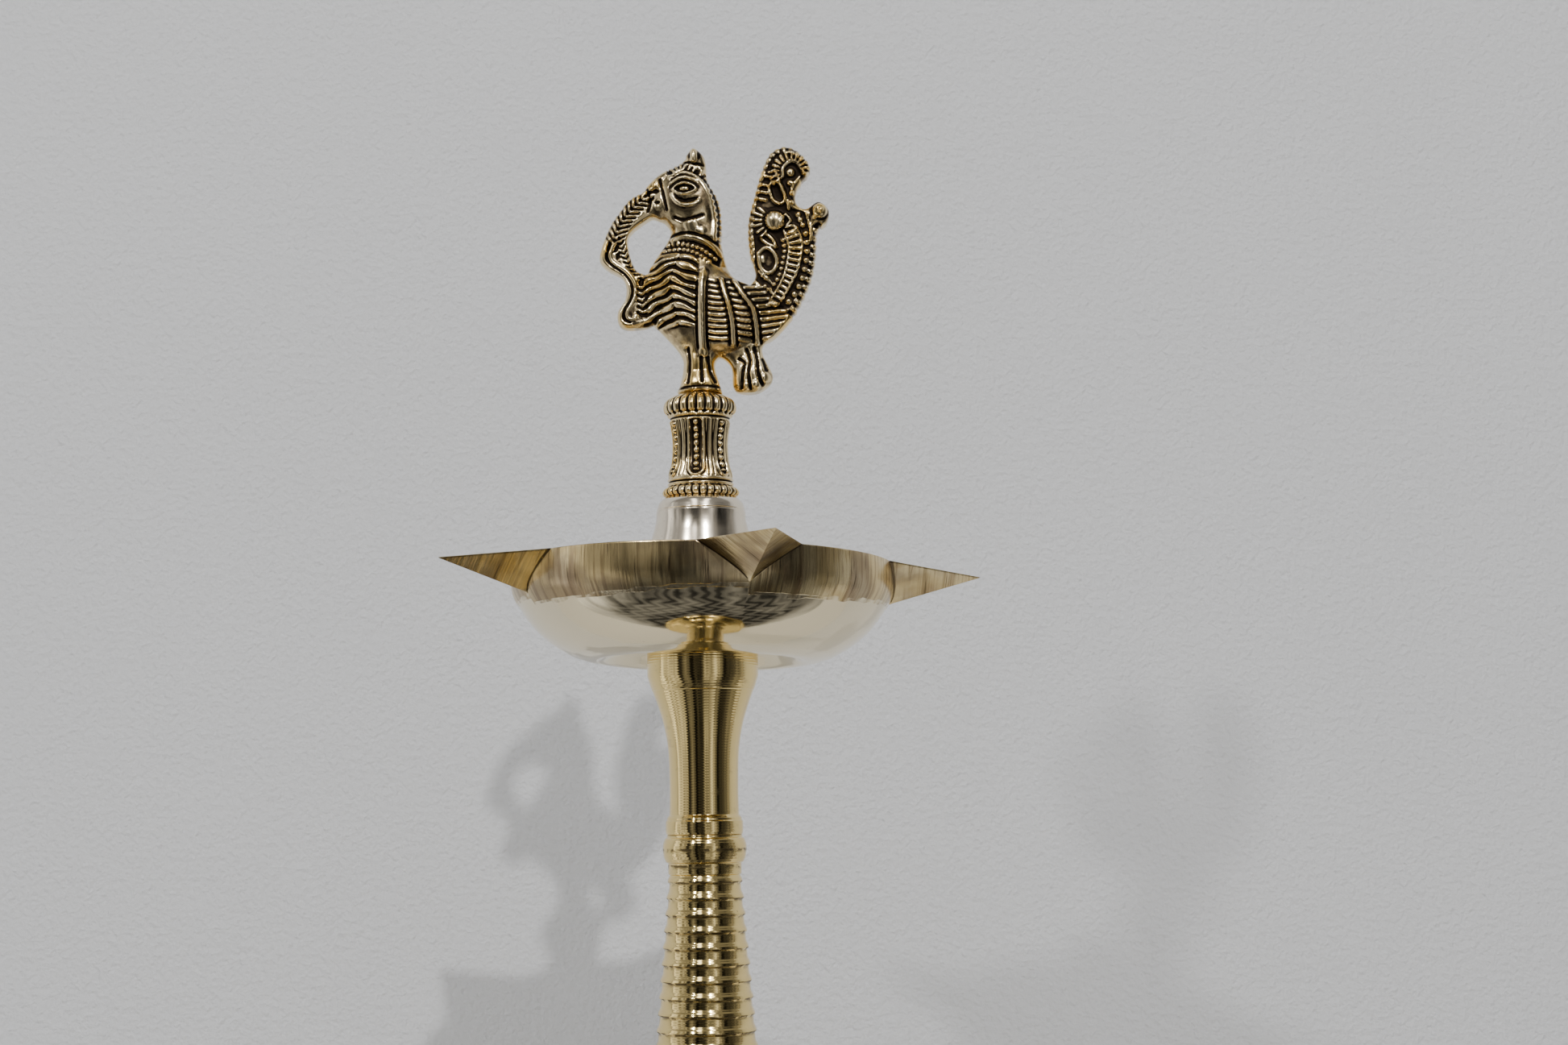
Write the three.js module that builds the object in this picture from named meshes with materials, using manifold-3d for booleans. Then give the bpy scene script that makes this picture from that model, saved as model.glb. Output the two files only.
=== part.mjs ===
// Brass standing oil lamp (samai): five spouted oil bowl on a screwed-together turned stem,
// with a bell foot below and a peacock finial on a small pedestal above.
// Millimetres, +Z up, origin on the lamp's axis at the plane that it stands on.
// The peacock faces -X and shows its side to -Y.

import * as THREE from 'three';
import { ConvexGeometry } from 'three/addons/geometries/ConvexGeometry.js';
import { mergeVertices } from 'three/addons/utils/BufferGeometryUtils.js';
import Module from 'manifold-3d';

// ---------------------------------------------------------------- driving dimensions

const FIT_GAP = 0.3;          // clearance left between two pieces that bear on each other
const ROUND_STEPS = 24;       // flats round a turned piece

const FOOT_RADIUS = 80;       // bell foot, where the lamp stands
const BELL_WALL = 3.2;        // cast wall of the hollow foot
const BASE_JOINT_Z = 110;     // foot to lower stem
const STEM_JOINT_Z = 268;     // lower stem to upper stem
const NECK_JOINT_Z = 320;     // upper stem to bowl
const SLEEVE_TOP_Z = 359.6;   // sleeve to finial
const PEDESTAL_TOP_Z = 388;   // pedestal to peacock

const STUD_RADIUS = 4.6;      // threaded studs between the pieces
const STUD_BORE_RADIUS = 5;
const STUD_GRIP = 10.4;       // how far a stud reaches into each piece
const STUD_BORE_DEPTH = STUD_GRIP + 0.8;
const STUD_CHAMFER = 0.7;

const RIDGE_PITCH = 4.4;      // turned rings down the lower stem
const RIDGE_DEPTH = 0.5;
const RIDGE_TOP_Z = 255;
const RIDGE_BOTTOM_Z = 154;
const RIDGE_TOP_RADIUS = 10;
const STEM_TAPER = 0.084;     // growth of the ridged stem's radius per millimetre downwards

const RIM_RADIUS = 52.2;      // round pan of the bowl
const RIM_HEIGHT = 26.3;      // pan rim above its foot ring
const FOOT_RING_DROP = 5.4;   // foot ring below the face that bears on the stem
const SPOUT_REACH = 76.5;     // axis to spout tip
const SPOUT_HALF_WIDTH = 14.2;
const SPOUT_DEPTH = 10.2;     // keel below the rim where a spout leaves the pan
const SPOUT_TIP_DEPTH = 1;
const SPOUT_WALL = 2.2;
const SPOUTS = [              // by eye round the pan: direction, and how far the tip hangs down
  { degrees: -74.5, droop: 0 },
  { degrees: 1.5, droop: 2.6 },
  { degrees: 69.5, droop: 1.8 },
  { degrees: 138, droop: 2 },
  { degrees: 207, droop: 2.4 },
];
const LEAN_X = 0.018;         // the hand-made pan sits a little out of square on its boss:
const LEAN_Y = 0.04;          // slope of its own axis towards +X and +Y
const BOSS_RADIUS = 9;
const BOSS_TOP_Z = 344;
const SEAT_RADIUS = 17;       // faced ring under and over the pan's middle

const BODY_THICKNESS = 15;    // peacock, across its sides
const BIRD_PLATE = 7;
const GARLAND_THICKNESS = 6;
const BIRD_PEG_RADIUS = 2;
const BIRD_OFFSET = 0.5;      // the peacock's foot is soldered on a little off the axis

// ---------------------------------------------------------------- finishes

const finish = (color, roughness, metalness = 1) =>
  () => new THREE.MeshStandardMaterial({ color, roughness, metalness });

const turnedBrass = finish(0xcdb16a, 0.2);
const panBrass = finish(0xb9aa88, 0.24);
const silveredBrass = finish(0xc9c3b8, 0.22);
const agedBrass = finish(0x8d7a4c, 0.42);
const studSteel = finish(0x9a9a96, 0.4);

// ---------------------------------------------------------------- shared helpers

const wasm = await Module();
wasm.setup();

// A run of points on a smooth curve through the few given ones.
function smooth(points, steps) {
  const curve = new THREE.SplineCurve(points.map(([x, y]) => new THREE.Vector2(x, y)));
  return curve.getPoints(steps).map((p) => [p.x, p.y]);
}

// A turned piece from [radius, height] pairs, which run anticlockwise round the metal.
function turned(profile) {
  const points = profile.map(([radius, height]) => new THREE.Vector2(radius, height));
  const geometry = new THREE.LatheGeometry(points, ROUND_STEPS);
  return geometry.rotateX(Math.PI / 2);
}

// The same, for a profile that is drawn from its rim downwards.
const turnedDown = (profile) => turned([...profile].reverse());

function toManifold(geometry) {
  const plain = geometry.clone();
  plain.deleteAttribute('normal');
  plain.deleteAttribute('uv');
  const merged = mergeVertices(plain, 1e-4);
  const corners = merged.index.array;
  const triangles = [];
  for (let i = 0; i < corners.length; i += 3) {
    const [a, b, c] = corners.slice(i, i + 3);
    if (a !== b && b !== c && a !== c) triangles.push(a, b, c);
  }
  return new wasm.Manifold(new wasm.Mesh({
    numProp: 3,
    vertProperties: new Float32Array(merged.attributes.position.array),
    triVerts: new Uint32Array(triangles),
  }));
}

function fromManifold(solid) {
  const mesh = solid.getMesh();
  const geometry = new THREE.BufferGeometry();
  geometry.setAttribute('position', new THREE.BufferAttribute(mesh.vertProperties, 3));
  geometry.setIndex(new THREE.BufferAttribute(mesh.triVerts, 1));
  geometry.computeVertexNormals();
  return geometry;
}

const joined = (solids) => solids.reduce((sum, solid) => sum.add(solid));

const lamp = new THREE.Group();

function addPiece(name, geometry, material) {
  const mesh = new THREE.Mesh(geometry, material());
  mesh.name = name;
  lamp.add(mesh);
}

// The two ends of a stem piece: a blind bore for a stud, from the axis out to the joint face.
const lowerBore = (faceZ) => [
  [0, faceZ + STUD_BORE_DEPTH],
  [STUD_BORE_RADIUS, faceZ + STUD_BORE_DEPTH],
  [STUD_BORE_RADIUS, faceZ],
];

const upperBore = (faceZ) => [
  [STUD_BORE_RADIUS, faceZ],
  [STUD_BORE_RADIUS, faceZ - STUD_BORE_DEPTH],
  [0, faceZ - STUD_BORE_DEPTH],
];

function stud(bottomZ, topZ) {
  return turned([
    [0, bottomZ],
    [STUD_RADIUS - STUD_CHAMFER, bottomZ],
    [STUD_RADIUS, bottomZ + STUD_CHAMFER],
    [STUD_RADIUS, topZ - STUD_CHAMFER],
    [STUD_RADIUS - STUD_CHAMFER, topZ],
    [0, topZ],
  ]);
}

const jointStud = (jointZ) => stud(jointZ - STUD_GRIP, jointZ + STUD_GRIP);

// ---------------------------------------------------------------- foot

function bellFoot() {
  const faceZ = BASE_JOINT_Z - FIT_GAP / 2;
  const bell = smooth([[38, 44], [28, 53], [20, 66], [15.5, 82], [15, 92], [17, 99]], 12);
  const dome = smooth([[69, 15], [65, 24], [56, 33], [44, 39.5]], 8);
  const hollow = smooth([[0, 44], [14, 42], [34, 35], [52, 26], [64, 15], [67, 6]], 10);
  return turned([
    ...hollow,
    [FOOT_RADIUS - 2 * BELL_WALL, 3],
    [FOOT_RADIUS - 1.6 * BELL_WALL, 0],
    [FOOT_RADIUS - 1, 0],
    [FOOT_RADIUS, 1],
    [FOOT_RADIUS, 7],
    [FOOT_RADIUS - 2, 9],
    [72, 11],
    [72, 14],
    ...dome,
    [44, 42],
    [41, 44],
    ...bell,
    [21, 101],
    [22, 104],
    [22, 108.5],
    [21, faceZ],
    ...upperBore(faceZ),
  ]);
}

// ---------------------------------------------------------------- stems

const ridgedRadius = (z) => RIDGE_TOP_RADIUS + (RIDGE_TOP_Z - z) * STEM_TAPER;

// Shallow turned rings: a crest at each pitch, a hollow halfway between.
function ridges() {
  const points = [];
  for (let z = RIDGE_BOTTOM_Z; z <= RIDGE_TOP_Z; z += RIDGE_PITCH) {
    points.push([ridgedRadius(z), z]);
    points.push([ridgedRadius(z + RIDGE_PITCH / 2) - RIDGE_DEPTH, z + RIDGE_PITCH / 2]);
  }
  return points;
}

function lowerStem() {
  const bottomZ = BASE_JOINT_Z + FIT_GAP / 2;
  const topZ = STEM_JOINT_Z - FIT_GAP / 2;
  const knob = smooth([[15, 118], [20, 121], [24, 128], [24, 133], [20, 140], [15.5, 143]], 10);
  const ring = smooth([[10.7, 261], [11.2, 263], [11.3, 265.3], [10.8, 267.3]], 4);
  return turned([
    ...lowerBore(bottomZ),
    [21, bottomZ],
    [22, 111.5],
    [21, 114],
    [16, 116],
    ...knob,
    [20, 146],
    [21.5, 148],
    [21, 151],
    [19, 152.5],
    ...ridges(),
    [ridgedRadius(257), 258],
    [9.9, 260.6],
    ...ring,
    [10.2, topZ],
    ...upperBore(topZ),
  ]);
}

function upperStem() {
  const bottomZ = STEM_JOINT_Z + FIT_GAP / 2;
  const topZ = NECK_JOINT_Z - FIT_GAP / 2;
  const waist = smooth(
    [[9.4, 273.4], [9.3, 281], [9.6, 290.5], [10.6, 297], [12, 302], [13.8, 307]], 12);
  return turned([
    ...lowerBore(bottomZ),
    [10.3, bottomZ],
    [10.5, 269.4],
    [10.4, 271.8],
    [9.9, 272.9],
    ...waist,
    [15.1, 310.8],
    [15.1, topZ - 0.8],
    [14.3, topZ],
    ...upperBore(topZ),
  ]);
}

// ---------------------------------------------------------------- bowl

// Pan outline from the rim down to the foot ring, heights below the rim.
const panWall = smooth(
  [[RIM_RADIUS, 0], [51.9, -7.9], [49, -13.2], [45.4, -17.9], [40.6, -21.9], [35.5, -24.8]], 14);

// One spout: rim level on top, a keel below, running in from its tip to inside the pan.
// 'inset' shrinks it on every side to make the channel for the wick.
function spoutWedge(degrees, droop, inset, raise) {
  const inner = RIM_RADIUS - 8;
  const root = RIM_RADIUS - 1;
  const reach = SPOUT_REACH - 1.8 * inset;
  const half = SPOUT_HALF_WIDTH - inset;
  const innerHalf = half + (root - inner) * half / (reach - root);
  const depth = SPOUT_DEPTH - 1.2 * inset;
  const tip = Math.max(SPOUT_TIP_DEPTH - inset, 0.2);
  const corners = [
    [inner, innerHalf, raise], [inner, -innerHalf, raise],
    [root, half, raise], [root, -half, raise],
    [reach, 0.5, raise - droop], [reach, -0.5, raise - droop],
    [reach, 0, -tip - droop],
    [root - 1, 0, -depth], [inner, 0, -depth],
    [inner, 0.8 * half, -0.6 * depth], [inner, -0.8 * half, -0.6 * depth],
  ];
  const points = corners.map((corner) => new THREE.Vector3(...corner));
  const wedge = new ConvexGeometry(points);
  return toManifold(wedge.rotateZ(THREE.MathUtils.degToRad(degrees)));
}

function bowl() {
  const lipZ = -RIM_HEIGHT;
  const outside = toManifold(turnedDown([
    [0, 0],
    ...panWall,
    [31.5, lipZ + 0.4],
    [29, lipZ],
    [26.5, lipZ + 0.6],
    [22, lipZ + 4],
    [0, lipZ + 4],
  ]));
  const innerWall = panWall.slice(1).map(([radius, z]) => [radius - 3, z + 2.6]);
  const inside = toManifold(turnedDown([
    [0, 1],
    [RIM_RADIUS - 2.6, 1],
    [RIM_RADIUS - 2.6, 0],
    ...innerWall,
    [28, lipZ + 3.6],
    [21, lipZ + 7.4],
    [0, lipZ + 7.6],
  ]));
  const spouts = [];
  const channels = [];
  SPOUTS.forEach(({ degrees, droop }) => {
    spouts.push(spoutWedge(degrees, droop, 0, 0));
    channels.push(spoutWedge(degrees, droop, SPOUT_WALL, 1));
  });
  const pan = joined([outside, ...spouts]).subtract(joined([inside, ...channels]));

  const faceZ = NECK_JOINT_Z + FIT_GAP / 2;
  const leaning = new THREE.Matrix4().makeRotationFromQuaternion(
    new THREE.Quaternion().setFromUnitVectors(
      new THREE.Vector3(0, 0, 1), new THREE.Vector3(LEAN_X, LEAN_Y, 1).normalize()));
  const placed = fromManifold(pan)
    .translate(0, 0, RIM_HEIGHT - FOOT_RING_DROP)
    .applyMatrix4(leaning)
    .translate(0, 0, NECK_JOINT_Z);
  const boss = toManifold(turned([
    [0, faceZ + STUD_BORE_DEPTH],
    [STUD_BORE_RADIUS, faceZ + STUD_BORE_DEPTH],
    [STUD_BORE_RADIUS, faceZ],
    [SEAT_RADIUS, faceZ],
    [SEAT_RADIUS, faceZ + BELL_WALL],
    [BOSS_RADIUS, faceZ + BELL_WALL],
    [BOSS_RADIUS, BOSS_TOP_Z],
    [STUD_BORE_RADIUS, BOSS_TOP_Z],
    [STUD_BORE_RADIUS, BOSS_TOP_Z - STUD_BORE_DEPTH],
    [0, BOSS_TOP_Z - STUD_BORE_DEPTH],
  ]));
  const seatClearance = toManifold(turned([
    [0, faceZ - 12],
    [SEAT_RADIUS, faceZ - 12],
    [SEAT_RADIUS, faceZ],
    [0, faceZ],
  ]));
  const boreClearance = toManifold(turned([
    [0, faceZ - 1],
    [STUD_BORE_RADIUS, faceZ - 1],
    [STUD_BORE_RADIUS, faceZ + STUD_BORE_DEPTH],
    [0, faceZ + STUD_BORE_DEPTH],
  ]));
  const sleeveSeat = toManifold(turned([
    [0, faceZ + BELL_WALL],
    [SEAT_RADIUS, faceZ + BELL_WALL],
    [SEAT_RADIUS, faceZ + BELL_WALL + 8],
    [0, faceZ + BELL_WALL + 8],
  ]));
  const trimmed = toManifold(placed).subtract(seatClearance).subtract(sleeveSeat);
  return fromManifold(trimmed.add(boss).subtract(boreClearance));
}

// ---------------------------------------------------------------- sleeve and finial rod

function sleeve() {
  const bottomZ = NECK_JOINT_Z + BELL_WALL + 1.5 * FIT_GAP;
  return turned([
    [BOSS_RADIUS + 1, bottomZ],
    [15, bottomZ],
    [15, 340],
    [14.6, 344],
    [13.1, 350],
    [12.15, 353.5],
    [11.9, 356],
    [11.5, 357.6],
    [10.4, 359],
    [9.2, SLEEVE_TOP_Z],
    [STUD_BORE_RADIUS, SLEEVE_TOP_Z],
    [STUD_BORE_RADIUS, BOSS_TOP_Z + 8],
    [BOSS_RADIUS + 1, BOSS_TOP_Z + 6],
    [BOSS_RADIUS + 1, bottomZ],
  ]);
}

const finialRod = () => stud(BOSS_TOP_Z - STUD_GRIP, SLEEVE_TOP_Z + STUD_GRIP);

// ---------------------------------------------------------------- finial

function pedestal() {
  const bottomZ = SLEEVE_TOP_Z + FIT_GAP;
  const cove = smooth([[8.8, 364], [8.5, 366.5], [7.5, 369.4], [7.3, 374.7], [8.2, 380]], 8);
  return turned([
    ...lowerBore(bottomZ),
    [9.2, bottomZ],
    [10.2, 360.7],
    [10.2, 361.8],
    [9.4, 362.9],
    ...cove,
    [8.7, 382.8],
    [9.6, 384],
    [9.6, 385.4],
    [8.8, 387.2],
    [6, PEDESTAL_TOP_Z],
    [BIRD_PEG_RADIUS + FIT_GAP, PEDESTAL_TOP_Z],
    [BIRD_PEG_RADIUS + FIT_GAP, PEDESTAL_TOP_Z - 5],
    [0, PEDESTAL_TOP_Z - 5],
  ]);
}

// The peacock's parts in side view, [x, height above the pedestal].
const birdBody = [
  [8.5, 0.3], [4.6, 4.5], [3.8, 8.2], [5.4, 10.2], [8.3, 7.5], [8.8, 1.9], [11, 0.3],
  [16.2, 0.7], [19.8, 4.4], [17, 11.2], [18, 14.4], [24, 19.6], [24, 26], [14, 30],
  [8.7, 33], [6.2, 41], [6.3, 46], [5.6, 53.6], [2.4, 60], [1.6, 66.4], [-1.4, 69.2],
  [-3.4, 67.4], [-4.4, 65.6], [-11.1, 61.9], [-15.4, 57.4], [-17.6, 53], [-12.6, 49.6],
  [-9.4, 48], [-8.1, 44.6], [-12.3, 38], [-14.6, 33.6], [-16.4, 26], [-13, 19.6],
  [-11.4, 18], [-6.7, 12.8], [-4.9, 9.6], [-5, 6.4], [-6.4, 3.2], [-6, 0.3],
];

const birdTail = [
  [13, 29], [15.4, 33], [13.8, 38.4], [13.4, 47.4], [15.2, 55], [17.2, 61.8], [19.8, 67.2],
  [24.2, 69.2], [28.4, 67], [30.9, 62.4], [27.2, 57.2], [26.8, 53.2], [29.4, 51.4],
  [33, 53.4], [35.8, 51], [35.2, 47.6], [32.7, 44.8], [32.2, 38], [31, 32], [28, 25],
  [24.2, 19.6], [17.8, 14.4], [12, 20],
];

const garlandOuter = [
  [-13, 58], [-18.7, 55.4], [-22.2, 51.4], [-24.8, 47.4], [-27, 41.6], [-27.6, 37.6],
  [-25.4, 35.2], [-21.6, 33], [-20.4, 30], [-20.8, 26.6], [-22.8, 23], [-22.2, 19.4],
  [-18.6, 18.5], [-13, 19.8], [-11, 26], [-11.4, 34], [-13.6, 33.6], [-15.6, 34],
  [-18, 35.6], [-19.8, 41.4], [-19, 45.4], [-13.2, 49.7], [-9, 51],
];

// A flat plate of the given outline, standing in the XZ plane and centred on it.
function plate(outline, thickness, steps) {
  const closed = outline.map(([x, z]) => new THREE.Vector2(x, z));
  closed.push(closed[0].clone());
  const shape = new THREE.Shape(new THREE.SplineCurve(closed).getPoints(steps).slice(0, -1));
  const geometry = new THREE.ExtrudeGeometry(shape, {
    depth: thickness, bevelEnabled: false, curveSegments: 1,
  });
  return toManifold(geometry.translate(0, 0, -thickness / 2).rotateX(Math.PI / 2));
}

// A rounded lump of the peacock's body: half sizes along the bird, across it and up.
function lump([x, z], [halfLength, halfHeight], thickness, turnDegrees) {
  const sphere = new THREE.SphereGeometry(1, 20, 12);
  sphere.scale(halfLength, thickness / 2, halfHeight);
  sphere.rotateY(THREE.MathUtils.degToRad(turnDegrees));
  return toManifold(sphere.translate(x, 0, z));
}

function peacock() {
  const bodyPlate = plate(birdBody, BIRD_PLATE, 90);
  const tail = plate(birdTail, BIRD_PLATE + 0.6, 60);
  const garland = plate(garlandOuter, GARLAND_THICKNESS, 60);
  const belly = lump([4.5, 23], [15, 12], BODY_THICKNESS, 12);
  const breast = lump([-3.2, 31], [10.5, 11], BODY_THICKNESS - 2, -15);
  const neck = lump([-0.4, 43], [6.8, 12], BODY_THICKNESS - 4, 0);
  const head = lump([-2.6, 54], [9, 8.4], BODY_THICKNESS - 3, -20);
  const peg = toManifold(turned([
    [0, 0.3 - 4], [BIRD_PEG_RADIUS, 0.3 - 4], [BIRD_PEG_RADIUS, 2], [0, 2],
  ]));
  const figure = joined([bodyPlate, tail, garland, belly, breast, neck, head]);
  return fromManifold(figure.translate(BIRD_OFFSET, 0, 0).add(peg)).translate(0, 0, PEDESTAL_TOP_Z);
}

// ---------------------------------------------------------------- the assembled lamp

addPiece('foot', bellFoot(), turnedBrass);
addPiece('foot_stud', jointStud(BASE_JOINT_Z), studSteel);
addPiece('lower_stem', lowerStem(), turnedBrass);
addPiece('stem_stud', jointStud(STEM_JOINT_Z), studSteel);
addPiece('upper_stem', upperStem(), turnedBrass);
addPiece('neck_stud', jointStud(NECK_JOINT_Z), studSteel);
addPiece('oil_bowl', bowl(), panBrass);
addPiece('finial_rod', finialRod(), studSteel);
addPiece('finial_sleeve', sleeve(), silveredBrass);
addPiece('finial_pedestal', pedestal(), agedBrass);
addPiece('peacock', peacock(), agedBrass);

export default lamp;
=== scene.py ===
import math

import bmesh
import bpy
import numpy as np
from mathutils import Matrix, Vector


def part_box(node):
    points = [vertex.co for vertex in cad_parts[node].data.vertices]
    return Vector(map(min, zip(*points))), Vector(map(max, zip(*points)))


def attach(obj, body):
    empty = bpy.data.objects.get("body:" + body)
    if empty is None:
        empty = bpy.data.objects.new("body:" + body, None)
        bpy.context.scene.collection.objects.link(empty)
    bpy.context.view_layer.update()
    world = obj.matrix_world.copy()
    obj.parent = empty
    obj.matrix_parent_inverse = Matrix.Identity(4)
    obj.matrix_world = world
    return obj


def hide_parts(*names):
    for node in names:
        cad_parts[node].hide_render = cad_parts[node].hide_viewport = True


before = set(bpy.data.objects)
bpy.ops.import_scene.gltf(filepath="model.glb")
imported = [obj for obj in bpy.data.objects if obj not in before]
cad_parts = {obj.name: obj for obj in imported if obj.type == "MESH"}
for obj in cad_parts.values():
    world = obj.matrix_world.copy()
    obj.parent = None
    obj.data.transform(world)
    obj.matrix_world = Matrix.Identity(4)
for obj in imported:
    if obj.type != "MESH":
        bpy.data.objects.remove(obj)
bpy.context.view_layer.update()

import openvdb
from bpy.props import FloatProperty, FloatVectorProperty, IntProperty, PointerProperty
from mathutils import Matrix, Vector

bl_info = {
    "name": "Brass standing oil lamp",
    "version": (1, 0, 0),
    "blender": (4, 5, 0),
    "location": "View3D > Sidebar > Oil lamp",
    "description": "Makes the turned, cast and ground brass pieces of a standing oil lamp",
    "category": "Object",
}

MM = 0.001
TURN = 2 * math.pi


def top(node):
    """Height of a CAD node's highest point, in millimetres."""
    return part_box(node)[1].z / MM


def foot_of(node):
    """Height of a CAD node's lowest point, in millimetres."""
    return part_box(node)[0].z / MM


SEAM = 0.02                  # half the hairline left between screwed pieces
GAP = 0.15                   # half the room that the CAD solids leave there
STUD_BORE = 5                # radius of the hole for a screw
BORE_DEPTH = 11.2
WELD, THINNEST = 1e-6, 1e-7  # metres: corners merged, edges closed up
NECK_Z = top("upper_stem") + GAP
PERCH_Z = top("finial_pedestal")


# ------------------------------------------------------------------ sizes and colours

def length(name, description, default):
    return FloatProperty(name=name, description=description, default=default, unit="LENGTH",
                         precision=5)


def tint(name, description, default):
    return FloatVectorProperty(name=name, description=description, default=default,
                               subtype="COLOR", min=0, max=1)


class LampSizes(bpy.types.PropertyGroup):
    ridge_pitch: length("Ridge pitch", "Height of one turned ridge on the stem", 0.0044)
    ridge_depth: length("Ridge depth", "How deep the hollows between ridges are cut", 0.00055)
    thread_pitch: length("Thread pitch", "Rise of the joining screws in one turn", 0.0016)
    thread_depth: length("Thread depth", "Depth of the screw thread", 0.0005)
    edge: length("Edge", "Radius of the broken edges on turned pieces", 0.0003)
    turned_steps: IntProperty(name="Turned steps", description="Flats round a turned piece",
                              default=144, min=24, max=256)
    relief_step: length("Relief step", "Grid of the cast bird's surface", 0.0003)


class LampFinishes(bpy.types.PropertyGroup):
    brass: tint("Turned brass", "Fresh yellow brass of the stem", (0.90, 0.70, 0.30))
    pan: tint("Pan brass", "Pale polished brass of the bowl", (0.88, 0.78, 0.55))
    ground: tint("Ground brass", "Brass left by the grinding belt", (0.70, 0.55, 0.28))
    silvered: tint("Silvered brass", "Pale plated sleeve", (0.88, 0.79, 0.64))
    aged: tint("Rubbed brass", "High places of the antique finish", (0.88, 0.72, 0.42))
    gilt: tint("Gold patches", "Warm places of the antique finish", (0.95, 0.66, 0.22))
    patina: tint("Patina", "Blackened hollows of the antique finish", (0.014, 0.010, 0.007))
    steel: tint("Screw metal", "Joining screws", (0.55, 0.52, 0.46))
    wall: tint("Wall", "Painted wall behind the lamp", (0.69, 0.705, 0.735))
    floor: tint("Floor", "Plain floor", (0.72, 0.71, 0.69))


class LampLight(bpy.types.PropertyGroup):
    key: FloatProperty(name="Key", description="Power of the main soft light, in watts",
                       default=20.0, min=0)
    fill: FloatProperty(name="Fill", description="Power of the second soft light, in watts",
                        default=12.0, min=0)
    room: FloatProperty(name="Room", description="Strength of the light from the room",
                        default=1.0, min=0)


def sizes():
    return bpy.context.scene.lamp_sizes


def finishes():
    return bpy.context.scene.lamp_finishes


# ------------------------------------------------------------------ node trees

class Socket:
    """A socket in a node tree; sums of sockets are written as sums."""

    def __init__(self, nodes, socket):
        self.nodes = nodes
        self.socket = socket

    def math(self, operation, *others):
        return self.nodes.add("ShaderNodeMath", {"operation": operation},
                              dict(enumerate((self, *others))))

    def __add__(self, other):
        return self.math("ADD", other)

    def __sub__(self, other):
        return self.math("SUBTRACT", other)

    def __rsub__(self, other):
        return self.nodes.add("ShaderNodeMath", {"operation": "SUBTRACT"}, {0: other, 1: self})

    def __mul__(self, other):
        return self.math("MULTIPLY", other)

    def __truediv__(self, other):
        return self.math("DIVIDE", other)

    def __pow__(self, other):
        return self.math("POWER", other)

    __radd__ = __add__
    __rmul__ = __mul__

    def between(self, low, high):
        """0 below low, 1 above high, smooth between."""
        return self.nodes.add("ShaderNodeMapRange", {"interpolation_type": "SMOOTHSTEP"},
                              {0: self, 1: low, 2: high})


class Nodes:
    """A node tree being written."""

    def __init__(self, tree):
        self.tree = tree

    def add(self, kind, settings=None, inputs=None, output=0):
        node = self.tree.nodes.new(kind)
        for key, value in (settings or {}).items():
            if key == "stops":
                ramp = node.color_ramp
                while len(ramp.elements) < len(value):
                    ramp.elements.new(1)
                for element, (position, shade) in zip(ramp.elements, value):
                    element.position = position
                    element.color = (shade, shade, shade, 1)
            else:
                setattr(node, key, value)
        for key, value in (inputs or {}).items():
            if isinstance(value, Socket):
                self.tree.links.new(value.socket, node.inputs[key])
            else:
                node.inputs[key].default_value = value
        return Socket(self, node.outputs[output]) if node.outputs else node

    def blend(self, factor, first, second):
        """A colour between two colours."""
        return self.add("ShaderNodeMix", {"data_type": "RGBA"}, {0: factor, 6: first, 7: second}, 2)

    def noise(self, place, scale, detail=2.0, stretch=(1, 1, 1)):
        scaled = self.add("ShaderNodeMapping", None, {"Vector": place, "Scale": stretch})
        return self.add("ShaderNodeTexNoise", None,
                        {"Vector": scaled, "Scale": scale, "Detail": detail})

    def parts(self, vector):
        return [self.add("ShaderNodeSeparateXYZ", None, {0: vector}, axis) for axis in range(3)]


def rgb(colour):
    return (colour[0], colour[1], colour[2], 1)


def metal(name, write):
    """A metal whose changing parts are given by write(nodes, place): colour, roughness, height."""
    material = bpy.data.materials.new(name)
    material.use_nodes = True
    material.node_tree.nodes.clear()
    nodes = Nodes(material.node_tree)
    place = nodes.add("ShaderNodeTexCoord", None, None, "Object")
    look = write(nodes, place)
    bump = nodes.add("ShaderNodeBump", None,
                     {"Height": look["height"], "Strength": 1, "Distance": look["depth"]})
    inputs = {"Base Color": look["colour"], "Roughness": look["roughness"], "Normal": bump,
              "Metallic": look.get("metallic", 1.0)}
    shader = nodes.add("ShaderNodeBsdfPrincipled", None, inputs)
    nodes.add("ShaderNodeOutputMaterial", None, {"Surface": shader})
    return material


# ------------------------------------------------------------------ metals

def turned_brass(nodes, place, ridged=False):
    """Yellow brass straight off the lathe: feed lines, fine scratches, dark pits; on the ridged
    stem, painted shade under each crest.
    """
    look = finishes()
    z = nodes.parts(place)[2]
    lines = nodes.noise(place, 1, 1.0, (40, 40, 1900))
    feed = (z * (TURN / 0.00072)).math("SINE")
    worn = nodes.noise(place, 70, 3.0)
    pits = nodes.noise(place, 900, 2.0, (1, 1, 1.6)).between(0.72, 0.78)
    stain = nodes.noise(place, 160, 4.0, (1, 1, 2.2)).between(0.60, 0.72)
    dark = pits * worn.between(0.45, 0.6)
    if ridged:
        phase = ((top_of_ridges() * MM - z) / sizes().ridge_pitch).math("FRACT")
        # painted shade: the colour darkens in a band under each ridge crest, broken into patches by
        # noise
        under = 1 - phase.between(0.03, 0.34)
        shade_patches = nodes.noise(place, 430, 4.0, (1, 1, 1.5)).between(0.40, 0.58)
        dark = dark + under * shade_patches
    colour = nodes.blend(stain * 0.35, rgb(look.brass), (0.55, 0.40, 0.20, 1))
    colour = nodes.blend(dark.math("MINIMUM", 0.85), colour, (0.05, 0.035, 0.02, 1))
    return {"colour": colour, "roughness": 0.05 + lines * 0.07 + stain * 0.10 + dark * 0.3,
            "height": lines * 1.9 + feed * 2.6 - dark * 1.5, "depth": 0.0000042}


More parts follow.
